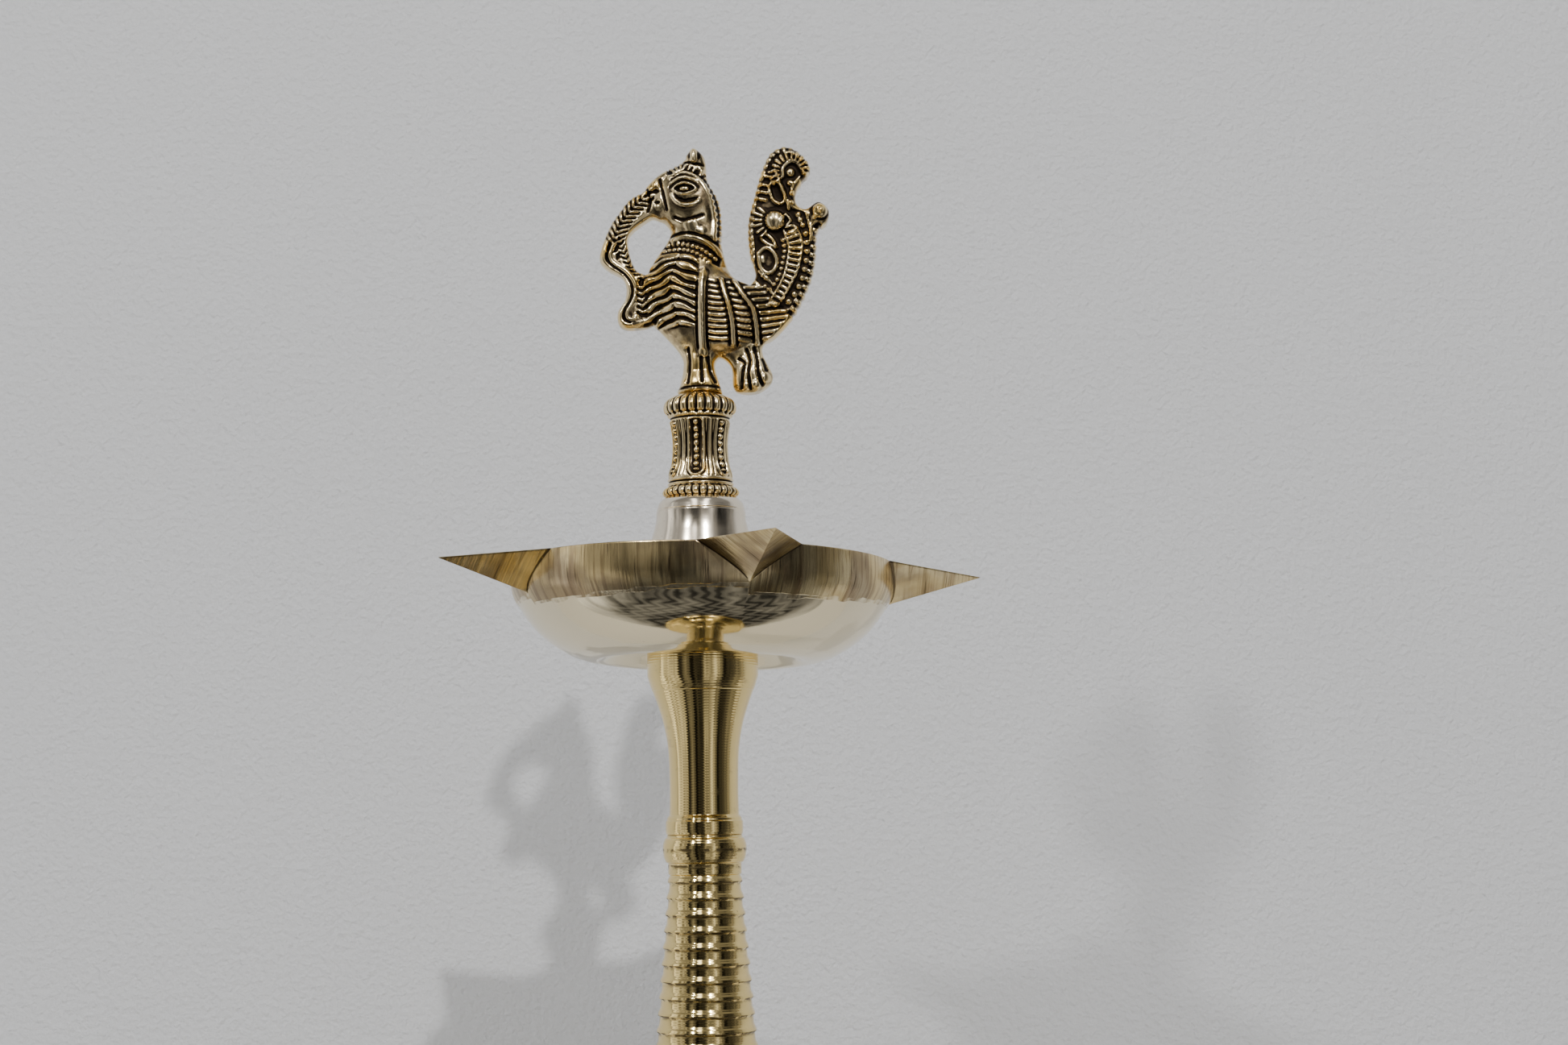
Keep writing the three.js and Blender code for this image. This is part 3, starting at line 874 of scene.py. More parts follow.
class Relief:
    """The side view of the bird as a height field, in millimetres."""

    def __init__(self, low, high, step):
        self.low, self.step = np.array(low, float), step
        self.xs = np.arange(low[0], high[0], step)
        self.zs = np.arange(low[1], high[1], step)
        self.x, self.z = np.meshgrid(self.xs, self.zs, indexing="ij")
        self.height = np.zeros_like(self.x)
        self.edge = np.zeros_like(self.x)

    def beside(self, path, reach, steps=0):
        """Window round a path, with the distance along it, to its side and from it."""
        points = np.array(catmull(path, steps) if steps else path, float)
        low = np.floor((points.min(0) - reach - self.low) / self.step).astype(int)
        high = np.ceil((points.max(0) + reach - self.low) / self.step).astype(int)
        low = np.maximum(low, 0)
        window = (slice(low[0], max(high[0], 1)), slice(low[1], max(high[1], 1)))
        x, z = self.x[window], self.z[window]
        nearest = np.full(x.shape, 1e9)
        along, side = np.zeros(x.shape), np.zeros(x.shape)
        start = 0.0
        for (ax, az), (bx, bz) in zip(points, points[1:]):
            length_ = math.hypot(bx - ax, bz - az)
            ux, uz = (bx - ax) / length_, (bz - az) / length_
            t = np.clip((x - ax) * ux + (z - az) * uz, 0, length_)
            dx, dz = x - ax - ux * t, z - az - uz * t
            distance = np.hypot(dx, dz)
            closer = distance < nearest
            nearest[closer] = distance[closer]
            along[closer] = (start + t)[closer]
            side[closer] = (dx * -uz + dz * ux)[closer]
            start += length_
        return window, along, side, nearest, start

    def rib(self, path, width, height, steps=24):
        window, _, _, far, _ = self.beside(path, width, steps)
        self.height[window] += height * np.clip(1 - (far / width) ** 2, 0, 1) ** 0.75

    def groove(self, path, width, depth, steps=24):
        window, _, _, far, _ = self.beside(path, 2 * width, steps)
        self.height[window] -= depth * np.exp(-(far / width) ** 2)

    def ticks(self, path, pitch, half, depth, slant=0.0, steps=24, notch=0.0, lift=0.0, sharp=1.0):
        """Cross cuts beside a path; slant leans them, notch carries them into the outline."""
        window, along, side, far, _ = self.beside(path, half + 0.6, steps)
        lean = along + slant * np.abs(side)
        wave = (0.5 + 0.5 * np.cos(TURN * lean / pitch)) ** sharp
        mask = soft(-far, -half - 0.15, -half + 0.15)
        self.height[window] += (lift - depth * wave) * mask
        self.edge[window] += notch * wave * mask

    def beads(self, path, pitch, radius, height, steps=24):
        window, along, side, _, total = self.beside(path, radius + 0.3, steps)
        count = max(round(total / pitch), 1)
        pitch = total / count
        local = (along / pitch) % 1 - 0.5
        distance = np.hypot(local * pitch, side) / radius
        self.height[window] += height * np.sqrt(np.clip(1 - distance ** 2, 0, 1))

    def dome(self, place, radius, height, stretch=1.0, degrees=0.0):
        turn = math.radians(degrees)
        dx, dz = self.x - place[0], self.z - place[1]
        along = dx * math.cos(turn) + dz * math.sin(turn)
        side = -dx * math.sin(turn) + dz * math.cos(turn)
        distance = np.hypot(along / stretch, side) / radius
        self.height += height * np.sqrt(np.clip(1 - distance ** 2, 0, 1))

    def sink(self, outline, depth, border=0.35, steps=0):
        """Lowers everything inside a closed outline."""
        inside = self.inside(outline, steps)
        self.height -= depth * soft(inside, 0, border)

    def inside(self, outline, steps=0):
        """Distance inside a closed outline, negative outside."""
        loop = [*outline, outline[0]]
        points = np.array(catmull(loop, steps) if steps else loop, float)
        far = np.full(self.x.shape, 1e9)
        odd = np.zeros(self.x.shape, bool)
        for (ax, az), (bx, bz) in zip(points, points[1:]):
            span = (bx - ax) ** 2 + (bz - az) ** 2
            if span < 1e-12:
                continue
            t = np.clip(((self.x - ax) * (bx - ax) + (self.z - az) * (bz - az)) / span, 0, 1)
            away = np.hypot(self.x - ax - t * (bx - ax), self.z - az - t * (bz - az))
            far = np.minimum(far, away)
            if az != bz:
                crosses = (az > self.z) != (bz > self.z)
                odd ^= crosses & (self.x < (bx - ax) * (self.z - az) / (bz - az) + ax)
        return np.where(odd, far, -far)


# Outlines of the bird in side view, [along, up from the pedestal], drawn 0.5 mm off the axis.
BODY_LINE = [
    (5.9, 0.04), (4.6, 4.5), (3.8, 8.2), (5.4, 10.2), (8.3, 7.5), (8.8, 1.9), (11, 0.3),
    (16.2, 0.7), (19.8, 4.4), (17, 11.2), (18, 14.4), (24, 19.6), (24, 26), (14, 30),
    (8.7, 33), (6.2, 41), (6.3, 46), (5.6, 53.6), (2.4, 60), (1.6, 66.4), (-1.4, 69.2),
    (-3.4, 67.4), (-4.4, 65.6), (-11.1, 61.9), (-15.4, 57.4), (-17.6, 53), (-12.6, 49.6),
    (-9.4, 48), (-8.1, 44.6), (-12.3, 38), (-14.6, 33.6), (-16.4, 26), (-13, 19.6),
    (-11.4, 18), (-6.7, 12.8), (-4.9, 9.6), (-5, 6.4), (-5.6, 3.0), (-5.8, 0.04),
]
TAIL_LINE = [
    (13, 29), (15.4, 33), (13.8, 38.4), (13.4, 47.4), (15.2, 55), (17.2, 61.8), (19.8, 67.2),
    (24.2, 69.2), (28.4, 67), (30.9, 62.4), (27.2, 57.2), (26.8, 53.2), (29.4, 51.4),
    (33, 53.4), (35.8, 51), (35.2, 47.6), (32.7, 44.8), (32.2, 38), (31, 32), (28, 25),
    (24.2, 19.6), (17.8, 14.4), (12, 20),
]
GARLAND_LINE = [
    (-13, 58), (-18.7, 55.4), (-22.2, 51.4), (-24.8, 47.4), (-27, 41.6), (-27.6, 37.6),
    (-25.4, 35.2), (-21.6, 33), (-20.4, 30), (-20.8, 26.6), (-22.8, 23), (-22.2, 19.4),
    (-18.6, 18.5), (-13, 19.8), (-11, 26), (-11.4, 34), (-13.6, 33.6), (-15.6, 34),
    (-18, 35.6), (-19.8, 41.4), (-19, 45.4), (-13.2, 49.7), (-9, 51),
]
BIRD_OFFSET = 0.5
RELIEF_CELL = 0.15
PLATE_HALF = 2.6             # the bird's half thickness where nothing swells it
TAIL_HALF, GARLAND_HALF = 3.4, 3.0
BODY_EDGE, TAIL_EDGE, GARLAND_EDGE = 2.1, 1.6, 1.9  # radius round each part's outline
FILLET = 0.8                 # where the parts run into each other
PEG_RADIUS, PEG_TOP, PEG_BOTTOM = 2.0, 2.0, -3.7
LEVEL_BAND = 3.0             # how far from the surface the solid's field is kept


def shifted(line):
    return [(x + BIRD_OFFSET, z) for x, z in line]


def carve_head(cast):
    nape = [(0.3, 61.8), (2, 60.3), (3.5, 58.2), (4.5, 55.8), (5.3, 53.3), (5.8, 50.9),
            (6.1, 48.4), (6.2, 46.2), (6.2, 43.9), (6.2, 41.7)]
    brow = [(-7.4, 62.5), (-6.2, 63.6), (-4.2, 64.3), (-2.6, 63.4), (-0.9, 62.5), (0.3, 61.8)]
    band = [(-7.4, 60.7), (-5, 62.3), (-2.3, 62), (-0.2, 60.6), (2, 58.3), (3.7, 55.1),
            (4.6, 52.1), (5.1, 49.1), (5.1, 46.2), (4.7, 43.2)]
    cast.ticks(nape, 1.75, 0.95, 0.75, notch=0.35, sharp=1.4)
    cast.ticks(brow, 1.35, 1.0, 0.7, notch=0.3, sharp=1.4)
    cast.rib(band, 0.9, 0.35)
    outside = [(x + 0.75, z + 0.35) for x, z in band]
    cast.groove(outside, 0.3, 0.75)
    lid = [(-6.7, 56.9), (-5.4, 58.0), (-3.5, 58.6), (-1.6, 58.0), (-0.3, 56.8), (-1.7, 55.9),
           (-3.6, 55.4), (-5.4, 55.9), (-6.7, 56.9)]
    cast.sink(lid[:-1], 0.7, 0.3, 48)
    cast.dome((-3.5, 57.0), 0.8, 0.95, 2.1)
    cast.rib(lid, 0.42, 0.85, 48)
    cast.groove([(-7.4, 57.4), (-5.9, 58.9), (-3.6, 59.5), (-1.3, 58.9), (0.2, 57.4)], 0.26, 0.7)
    cast.rib([(-7.2, 58.6), (-5.4, 60.0), (-3.0, 60.4), (-0.4, 59.2)], 0.5, 0.35)
    cast.groove([(-7.0, 59.9), (-5.2, 61.0), (-2.8, 61.2), (-0.4, 60.2)], 0.28, 0.7)
    cast.sink([(-6.4, 55.2), (-4.6, 54.5), (-2.0, 54.4), (0.5, 54.6), (-0.8, 53.3), (-3.4, 52.9),
               (-5.4, 53.8)], 0.6, 0.4, 40)
    cast.dome((-3.2, 53.9), 0.5, 0.35, 2.0)
    cast.rib([(-7.1, 55.6), (-5.9, 53.4), (-3.6, 52.2), (-1.0, 52.4), (0.7, 53.4)], 0.5, 0.5)
    cast.groove([(-6.2, 49.2), (-3.9, 48.3), (-1.5, 48.6), (1.5, 49.5)], 0.45, 0.6)
    cast.dome((-1.6, 46.6), 2.0, 0.45, 1.2, -35)
    cast.dome((0.9, 45.0), 1.3, 0.4, 1.2, 30)
    cast.dome((-3.2, 44.6), 0.8, 0.3)
    cast.groove([(-10.3, 60.2), (-9.7, 57.3), (-9.1, 54.8), (-8.4, 51.4)], 0.32, 0.8)
    cast.rib([(-11.6, 59.4), (-11.0, 57.4), (-10.6, 55.0), (-10.6, 52.2)], 1.1, 0.35)
    cast.dome((-11.4, 57.0), 0.75, -0.8, 1.5, 10)
    cast.dome((-11.0, 53.7), 0.6, -0.7, 1.5, 0)
    cast.groove([(-13.8, 57.6), (-13.2, 55.2), (-13.0, 53.4), (-13.6, 51.2)], 0.35, 0.8)
    cast.groove([(-4.2, 65.2), (-2.4, 65.0), (-0.6, 64.6), (1.6, 64.2)], 0.35, 0.7)
    cast.rib([(-0.9, 69.0), (-0.9, 65.8)], 1.1, 0.9, 0)


def carve_garland(cast):
    plait = [(-14.5, 55.4), (-16.5, 53.7), (-18.4, 51.7), (-20.2, 49.5), (-21.6, 47.1),
             (-22.6, 44.6), (-23.2, 42.4)]
    cast.ticks(plait, 1.7, 2.6, 0.85, slant=0.9, sharp=1.3, notch=0.12)
    cast.groove(plait, 0.25, 0.45)
    rim = [(-24.6, 43.4), (-25.6, 41.0), (-26.3, 38.8), (-25.8, 36.8), (-23.8, 35.2),
           (-21.4, 33.6), (-19.6, 31.5), (-18.9, 29.1), (-19.3, 26.8), (-20.9, 24.4),
           (-21.6, 22.2), (-21.4, 20.6), (-20.0, 19.5), (-18.0, 19.4), (-15.6, 20.2)]
    ridge = [(-23.4, 41.8), (-24.2, 39.6), (-23.9, 37.6), (-22.0, 35.9), (-20.0, 34.6),
             (-18.3, 32.6), (-17.2, 30.1), (-17.4, 27.5), (-18.5, 25.1), (-19.5, 23.4),
             (-19.6, 21.9), (-18.8, 20.9), (-17.5, 20.9)]
    cast.rib(rim, 0.95, 0.45, 60)
    cast.groove([((a[0] + b[0]) / 2, (a[1] + b[1]) / 2) for a, b in zip(rim, ridge)],
                0.3, 0.75, 50)
    cast.rib(ridge, 0.6, 0.4, 60)
    cast.ticks([(-21.6, 43.4), (-20.6, 40.2), (-19.4, 37.4), (-17.6, 35.0), (-15.4, 33.0)],
               1.45, 1.15, 0.8, slant=1.0, sharp=1.4)
    cast.sink([(-22.6, 39.6), (-21.6, 40.2), (-21.2, 38.4), (-22.4, 37.4)], 0.7, 0.3)
    cast.ticks([(-15.7, 30.6), (-15.6, 27.7), (-15.4, 25.8), (-15.4, 23.5), (-15.6, 21.6)],
               1.7, 1.5, 0.85, slant=0.6, sharp=1.2)
    cast.dome((-17.2, 21.6), 1.0, 0.6)
    cast.dome((-13.2, 32.4), 1.2, 0.35)


def carve_breast(cast):
    centre_z = np.array([12.0, 18.7, 21.7, 24.2, 26.6, 29.1, 31.8, 34.0, 36.7, 39.5])
    centre_x = np.array([-4.6, -5.2, -5.9, -6.6, -7.0, -7.5, -7.5, -6.7, -5.7, -4.2])
    off = cast.x - np.interp(cast.z, centre_z, centre_x)
    lean = cast.z + np.where(off < 0, 0.44, 0.42) * np.abs(off)
    lean = lean + 0.28 * np.sin(0.9 * cast.x + 0.35 * cast.z) + 0.2 * np.sin(1.7 * cast.z)
    wave = (0.5 + 0.5 * np.cos(TURN * lean / 2.35))
    right_edge = np.interp(cast.z, [14, 30, 34.5], [-0.3, 0.0, 0.4])
    mask = (soft(cast.z, 17.5, 19.5) * soft(-cast.z, -38.6, -37.0)
            * soft(-cast.x, -right_edge, -right_edge + 0.5) * soft(cast.x, -15.5, -14.6))
    mask = mask * soft(-(cast.z - 30) - np.abs(cast.x + 6) * 0.9, -16, -14)
    cast.height += mask * (0.45 - 0.95 * wave ** 1.5)
    cast.groove(list(zip(centre_x[1:], centre_z[1:])), 0.2, 0.35)


def carve_necklace(cast):
    cast.sink([(-9.6, 42.2), (-6, 42.6), (-1, 42.2), (3.2, 40.6), (6.6, 37.6), (6.2, 34.8),
               (2.0, 36.6), (-1.2, 38.0), (-6, 39.0), (-10.2, 38.8)], 0.55, 0.4)
    cast.rib([(-6.9, 43.0), (-4, 43.6), (-0.8, 43.2), (2.3, 42.0), (4.7, 40.4), (6.4, 38.8)],
             0.7, 0.6)
    cast.groove([(-7.2, 44.2), (-4, 44.7), (-0.6, 44.3), (2.9, 43.1), (5.6, 41.4)], 0.35, 0.7)
    cast.beads([(-8.9, 41.5), (-6.4, 41.9), (-3.8, 41.5), (-1.3, 40.9), (1.1, 40.0), (3.2, 38.7),
                (5.4, 37.0)], 1.45, 0.68, 0.95)
    cast.beads([(-9.8, 39.9), (-7.6, 40.3), (-5.2, 40.2), (-2.8, 39.7), (-0.4, 38.8), (1.5, 37.7),
                (3.9, 36.2)], 1.35, 0.62, 0.9)


def carve_wing(cast):
    blade = [(1.9, 34.4), (1.2, 30.4), (1.1, 26.7), (1.0, 23.1), (1.0, 16), (1.2, 12.4)]
    second = [(6.5, 31.0), (7.4, 27.2), (8.3, 24.4), (8.9, 21.6), (9.4, 18.6), (9.6, 13.3)]
    third = [(10.2, 30.6), (12.2, 27.1), (13.8, 25.0), (15.1, 22.9), (15.6, 20.8), (16.0, 17.8),
             (16.1, 14.0)]
    window, along, side, _, _ = cast.beside(blade, 2.0, 40)
    plate = np.clip(1 - (side / 1.25) ** 2, 0, 1) ** 0.5 * soft(along, 0, 2.2)
    cast.height[window] += 0.55 * plate
    for edge in (-1.0, 1.0):
        cast.groove([(x + edge * 1.35, z) for x, z in blade[1:]], 0.26, 0.75)
    cast.rib(blade, 0.35, 0.3)
    between = ((blade, second, 1.6), (second, third, 1.75))
    for left, right, pitch in between:
        zs = np.linspace(14, 31, 12)
        lx = np.interp(zs, [p[1] for p in reversed(left)], [p[0] for p in reversed(left)])
        rx = np.interp(zs, [p[1] for p in reversed(right)], [p[0] for p in reversed(right)])
        low = np.interp(cast.z, zs, lx + (1.7 if left is blade else 1.0))
        high = np.interp(cast.z, zs, rx - 1.0)
        inside = soft(cast.x, low - 0.2, low + 0.2) * soft(-cast.x, -high - 0.2, -high + 0.2)
        inside = inside * soft(cast.z, 13.6, 14.6) * soft(-cast.z, -32.0, -30.6)
        bend = cast.z + 0.22 * (cast.x - low) - 0.03 * (cast.x - low) ** 2
        wave = (0.5 + 0.5 * np.cos(TURN * bend / pitch)) ** 1.6
        cast.height += inside * (0.1 - 0.7 * wave)
    far_low = np.interp(cast.z, [14, 17.8, 22.9, 27.1, 30.6], [17.2, 17.1, 16.4, 13.4, 11.4])
    bend = cast.z - 0.18 * (cast.x - far_low) + 0.006 * (cast.x - far_low) ** 2
    wave = (0.5 + 0.5 * np.cos(TURN * bend / 1.75)) ** 1.6
    edge_x = np.interp(cast.z, [14, 19.6, 22.3, 25.4, 28.6, 30.4],
                       [18.2, 23.4, 25.2, 20.6, 18.6, 16.0])
    inside = (soft(cast.x, far_low - 0.1, far_low + 0.4)
              * soft(-cast.x, -edge_x - 0.1, -edge_x + 0.3)
              * soft(cast.z, 13.8, 15) * soft(-cast.z, -31, -29.8))
    cast.height += inside * (0.1 - 0.7 * wave)
    for line, size in ((second, 0.75), (third, 0.8)):
        cast.rib(line, size, size)
        for edge in (1.0, -1.0):
            cast.groove([(x + edge, z) for x, z in line], 0.25, 0.6)


def carve_tail(cast):
    cast.sink([(15.2, 31.5), (15.6, 38), (15.2, 46), (16.2, 53), (18.6, 61), (21, 66),
               (25, 67.4), (29, 64.5), (29.4, 61.4), (26.4, 58), (25.6, 52.4), (29.2, 50.8),
               (31.6, 48), (31.2, 42), (30.6, 36), (29, 30), (26.6, 25.6), (24.6, 22.8),
               (21.6, 23.8), (19.5, 26.8), (17, 30)], 0.62, 0.5, 90)
    rim = [(33.2, 46.4), (32.6, 42.5), (32.3, 39.5), (31.9, 36.8), (31.4, 34), (30.7, 31.2),
           (29.8, 28.9), (28.6, 26.6), (27.2, 24.3), (25.8, 22.3)]
    cast.ticks(rim, 2.35, 1.0, 0.85, notch=0.4, sharp=1.2)
    cast.groove([(x - 1.25, z + 0.2) for x, z in rim], 0.26, 0.45)
    cast.beads([(29.7, 45.6), (30.1, 41.4), (30.0, 38.4), (29.6, 35.6), (29, 32.9), (28.1, 30.4),
                (26.9, 28.2), (25.6, 26.1), (23.9, 24.6)], 2.5, 0.85, 1.0)
    ladder = [(25.6, 45.8), (26.8, 42.4), (27, 40.3), (26.8, 38.5), (26.5, 36.8), (26, 34.8),
              (25.3, 32.7), (24.3, 30.6), (23.3, 28.8), (22.2, 27), (21.1, 25.2)]
    cast.ticks(ladder, 1.65, 1.45, 0.75, lift=0.85, sharp=1.2)
    for edge in (-1.85, 1.85):
        side = [(x + edge, z + 0.25 * edge) for x, z in ladder]
        cast.rib(side, 0.38, 0.7)
    cast.beads([(23.4, 43.4), (24.0, 40.6), (23.7, 37.6), (23.0, 34.8), (22.3, 32.5),
                (20.9, 30.2), (19.4, 28.2)], 1.6, 0.6, 0.85)
    cast.beads([(19.3, 31.6), (17.6, 33.2)], 1.4, 0.7, 0.8, 0)
    cast.beads([(18.0, 30.2), (20.6, 27.4)], 1.3, 0.6, 0.8, 0)
    leaf = [(16.7, 38.9), (18.6, 40.5), (20.7, 39.5), (21.8, 36.9), (21.2, 34.6), (19.4, 33.4),
            (17.6, 34.6), (16.9, 36.8), (16.7, 38.9)]
    cast.rib(leaf, 0.6, 0.85, 60)
    cast.dome((17.9, 37.4), 0.8, 0.5, 1.6, 100)
    cast.rib([(17.4, 43.6), (19.0, 44.2), (20.7, 42.8), (21.7, 40.6)], 0.45, 0.8)
    cast.rib([(17.4, 43.2), (19.0, 41.8), (21.4, 40.6)], 0.45, 0.8)
    edge = [(15.0, 36.6), (14.6, 40), (14.5, 43.6), (14.5, 47.4), (15.2, 51.2), (16.2, 54.6),
            (17.0, 57.8), (18.2, 61.8), (20.2, 66.2), (23.0, 68.1), (25.6, 68.4), (28.0, 67.0),
            (29.9, 64.6), (30.6, 62.2), (29.4, 59.8)]
    cast.ticks(edge, 1.9, 1.0, 0.35, notch=0.22, sharp=1.4)
    window, _, _, far, _ = cast.beside([(26.0, 62.0), (26.01, 62.0)], 7.5)
    dx, dz = cast.x[window] - 26.0, cast.z[window] - 62.0
    turn = np.arctan2(dz, dx)
    ray = (0.5 + 0.5 * np.cos(turn * 19)) ** 1.3
    mask = soft(far, 2.9, 3.3) * soft(-far, -5.7, -5.2) * soft(turn + 0.35, 0, 0.2)
    far_side = soft(far, 2.9, 3.3) * soft(-far, -6.6, -6.1) * soft(-turn - 2.3, 0, 0.2)
    cast.height[window] += (1.25 - 1.15 * ray) * np.maximum(mask, far_side * 0.8)
    cast.rib([(23.8, 60.6), (23.9, 63.0), (25.9, 64.7), (28.0, 64.0), (29.3, 61.6)], 0.6, 0.75)
    for place, radius, height in (((25.9, 61.6), 1.25, 1.1), ((25.8, 58.7), 0.9, 0.9),
                                  ((26.1, 55.7), 0.75, 0.8), ((25.9, 53.0), 0.7, 0.8),
                                  ((21.4, 48.0), 2.95, 2.3), ((33.9, 50.6), 2.2, 1.3),
                                  ((34.1, 50.6), 0.75, 0.7), ((32.4, 48.9), 0.7, 0.7),
                                  ((32.6, 51.4), 0.55, 0.6)):
        cast.dome(place, radius, height)
    cast.rib([(19.9, 57.2), (20.6, 58.9), (22.2, 58.8), (23.3, 56.9), (24.2, 53.9), (22.7, 52.9),
              (20.9, 54.1), (19.9, 57.2)], 0.5, 0.9, 60)
    cast.rib([(21.6, 62.2), (23.0, 58.7), (24.4, 55.5), (25.3, 51.4)], 0.55, 0.85)
    for z in (60.6, 58.2, 56.2, 54.2):
        shift = (z - 54) * 0.22
        cast.rib([(16.6 + shift, z + 0.2), (19.0 + shift, z - 0.3)], 0.5, 0.75, 0)
    cast.rib([(24.2, 49.6), (22.9, 46.4), (25.6, 47.8), (24.4, 49.9)], 0.45, 0.7)
    cast.rib([(24.3, 46.0), (26.6, 46.6), (27.2, 44.8), (25.0, 44.2)], 0.45, 0.8)
    for degrees in (140, 158, 176, 194, 212, 230):
        a = math.radians(degrees)
        cast.rib([(21.4 + reach * math.cos(a), 48 + reach * math.sin(a))
                  for reach in (3.7, 5.8)], 0.5, 0.75, 0)
    cast.beads([(27.6, 50.4), (28.5, 48.1), (29.4, 46.0)], 1.8, 0.75, 0.8)
    cast.rib([(30.2, 49.6), (31.2, 45.6), (31.1, 42.5)], 0.45, 0.6)


def carve_legs(cast):
    for line in ([(-2.9, 12.6), (-2.5, 7.6), (-3.0, 3.0)], [(0.7, 10.2), (0.8, 6), (0.9, 3.2)],
                 [(2.3, 10.0), (3.1, 6.1), (4.4, 3.0)]):
        cast.groove(line, 0.4, 0.85)
    cast.groove([(-5.8, 1.6), (0.5, 1.9), (7.2, 1.5)], 0.3, 0.5)
    for line in ([(11.2, 9.6), (12.6, 8.2), (12.0, 5.4), (11.8, 1.4)],
                 [(13.2, 12.2), (14.0, 9.0), (13.6, 6.0), (14.0, 1.4)],
                 [(15.2, 12.6), (16.0, 9.0), (16.2, 5.6), (17.2, 2.4)],
                 [(17.4, 9.4), (18.4, 6.4)]):
        cast.groove(line, 0.42, 0.95)
    for x, z in ((12.6, 1.8), (15.6, 2.0), (18.4, 4.2)):
        cast.dome((x, z), 1.4, 0.5)
    cast.dome((-5.0, 3.2), 1.2, 0.4)


def bird_mesh():
    """Casts the bird: a rounded plate of varying thickness carrying the carved relief."""
    step = RELIEF_CELL
    cast = Relief((-30.5, -5.0), (38.6, 71.6), step)
    for carve in (carve_breast, carve_wing, carve_necklace, carve_head, carve_garland, carve_tail,
                  carve_legs):
        carve(cast)
    height = blurred(cast.height, 0.9)
    fine = height - blurred(height, 6.0)
    wear = soft(fine, -0.26, 0.24)

    def lump(place, half, thick, degrees=0.0):
        turn = math.radians(degrees)
        dx, dz = cast.x - place[0] - BIRD_OFFSET, cast.z - place[1]
        along = (dx * math.cos(turn) + dz * math.sin(turn)) / half[0]
        up = (-dx * math.sin(turn) + dz * math.cos(turn)) / half[1]
        return thick * np.sqrt(np.clip(1 - along ** 2 - up ** 2, 0, 1))

    lumps = [lump((4.5, 23), (15.5, 12.5), 7.2, 10), lump((-3.2, 31), (11, 11.5), 6.4),
             lump((-0.4, 43), (7.6, 13), 5.2), lump((-2.6, 54.5), (9.6, 9.2), 5.8, 20),
             lump((0.5, 2), (7.4, 5.0), 5.0), lump((0, 8), (5.2, 9), 4.0),
             lump((14.2, 4), (5.6, 8.0), 4.2)]
    body_thick = (PLATE_HALF ** 4 + sum(part ** 4 for part in lumps)) ** 0.25
    body = cast.inside(shifted(BODY_LINE), 220) - cast.edge
    tail = cast.inside(shifted(TAIL_LINE), 180) - cast.edge
    garland = cast.inside(shifted(GARLAND_LINE), 180) - cast.edge
    voxel = sizes().relief_step / MM
    pick = max(int(round(voxel / step)), 1)
    grid = (slice(None, None, pick), slice(None, None, pick))
    across = np.arange(-27, 28) * voxel
    side = np.abs(across)[None, :, None]

    def solid(inside, thick, rounding):
        inside, thick = inside[grid][:, None, :], (thick + height)[grid][:, None, :]
        out = rounding - inside
        over = side - thick + rounding
        return (np.minimum(np.maximum(out, over), 0)
                + np.hypot(np.maximum(out, 0), np.maximum(over, 0)) - rounding)

    field = solid(body, body_thick, BODY_EDGE)
    for part in (solid(tail, np.full_like(height, TAIL_HALF), TAIL_EDGE),
                 solid(garland, np.full_like(height, GARLAND_HALF), GARLAND_EDGE)):
        mix = np.clip(0.5 + 0.5 * (part - field) / FILLET, 0, 1)
        field = part * (1 - mix) + field * mix - FILLET * mix * (1 - mix)
    xs, zs = cast.xs[::pick], cast.zs[::pick]
    peg = np.hypot(xs[:, None], across[None, :])[:, :, None] - PEG_RADIUS
    ends = np.maximum(PEG_BOTTOM - zs, zs - PEG_TOP)[None, None, :]
    field = np.minimum(field, np.maximum(peg, ends))
    volume = openvdb.FloatGrid(LEVEL_BAND)
    field = np.clip(field, -LEVEL_BAND, LEVEL_BAND)
    volume.copyFromArray(np.ascontiguousarray(field.astype(np.float32)))
    points, quads = volume.convertToQuads(isovalue=0.0)
    corners = points * voxel + np.array([xs[0], across[0], zs[0]])
    mesh = bpy.data.meshes.new("cast_bird")
    mesh.from_pydata((corners + [0, 0, PERCH_Z]).dot(MM).tolist(), [], quads[:, ::-1].tolist())
    cells = tuple(np.clip(((corners[:, axis] - start) / step).round().astype(int), 0, count - 1)
                  for axis, start, count in zip((0, 2), (cast.xs[0], cast.zs[0]), wear.shape))
    rubbed = wear[cells]
    inner = np.maximum.reduce([body, tail, garland])[cells]
    on_rim = soft(-inner, -1.2, 0.2)
    rubbed = rubbed * (1 - on_rim) + (0.45 + 0.55 * rubbed) * on_rim
    marked(mesh, "wear", rubbed)
    return cleaned(mesh)


class LAMP_OT_bird(bpy.types.Operator):
    """Casts the peacock that stands on the finial"""
    bl_idname = "lamp.bird"
    bl_label = "Peacock"

    def execute(self, context):
        brass = bpy.data.materials["antique_brass"]
        place_piece("cast_bird", bird_mesh(), brass, "finial", ["peacock"])
        return {"FINISHED"}


# ------------------------------------------------------------------ pedestal

PEDESTAL_STEPS = 288
TONGUES = 6                  # beaded tongues round the pedestal
BEAD_PITCH, BEAD_RADIUS = 1.9, 0.82


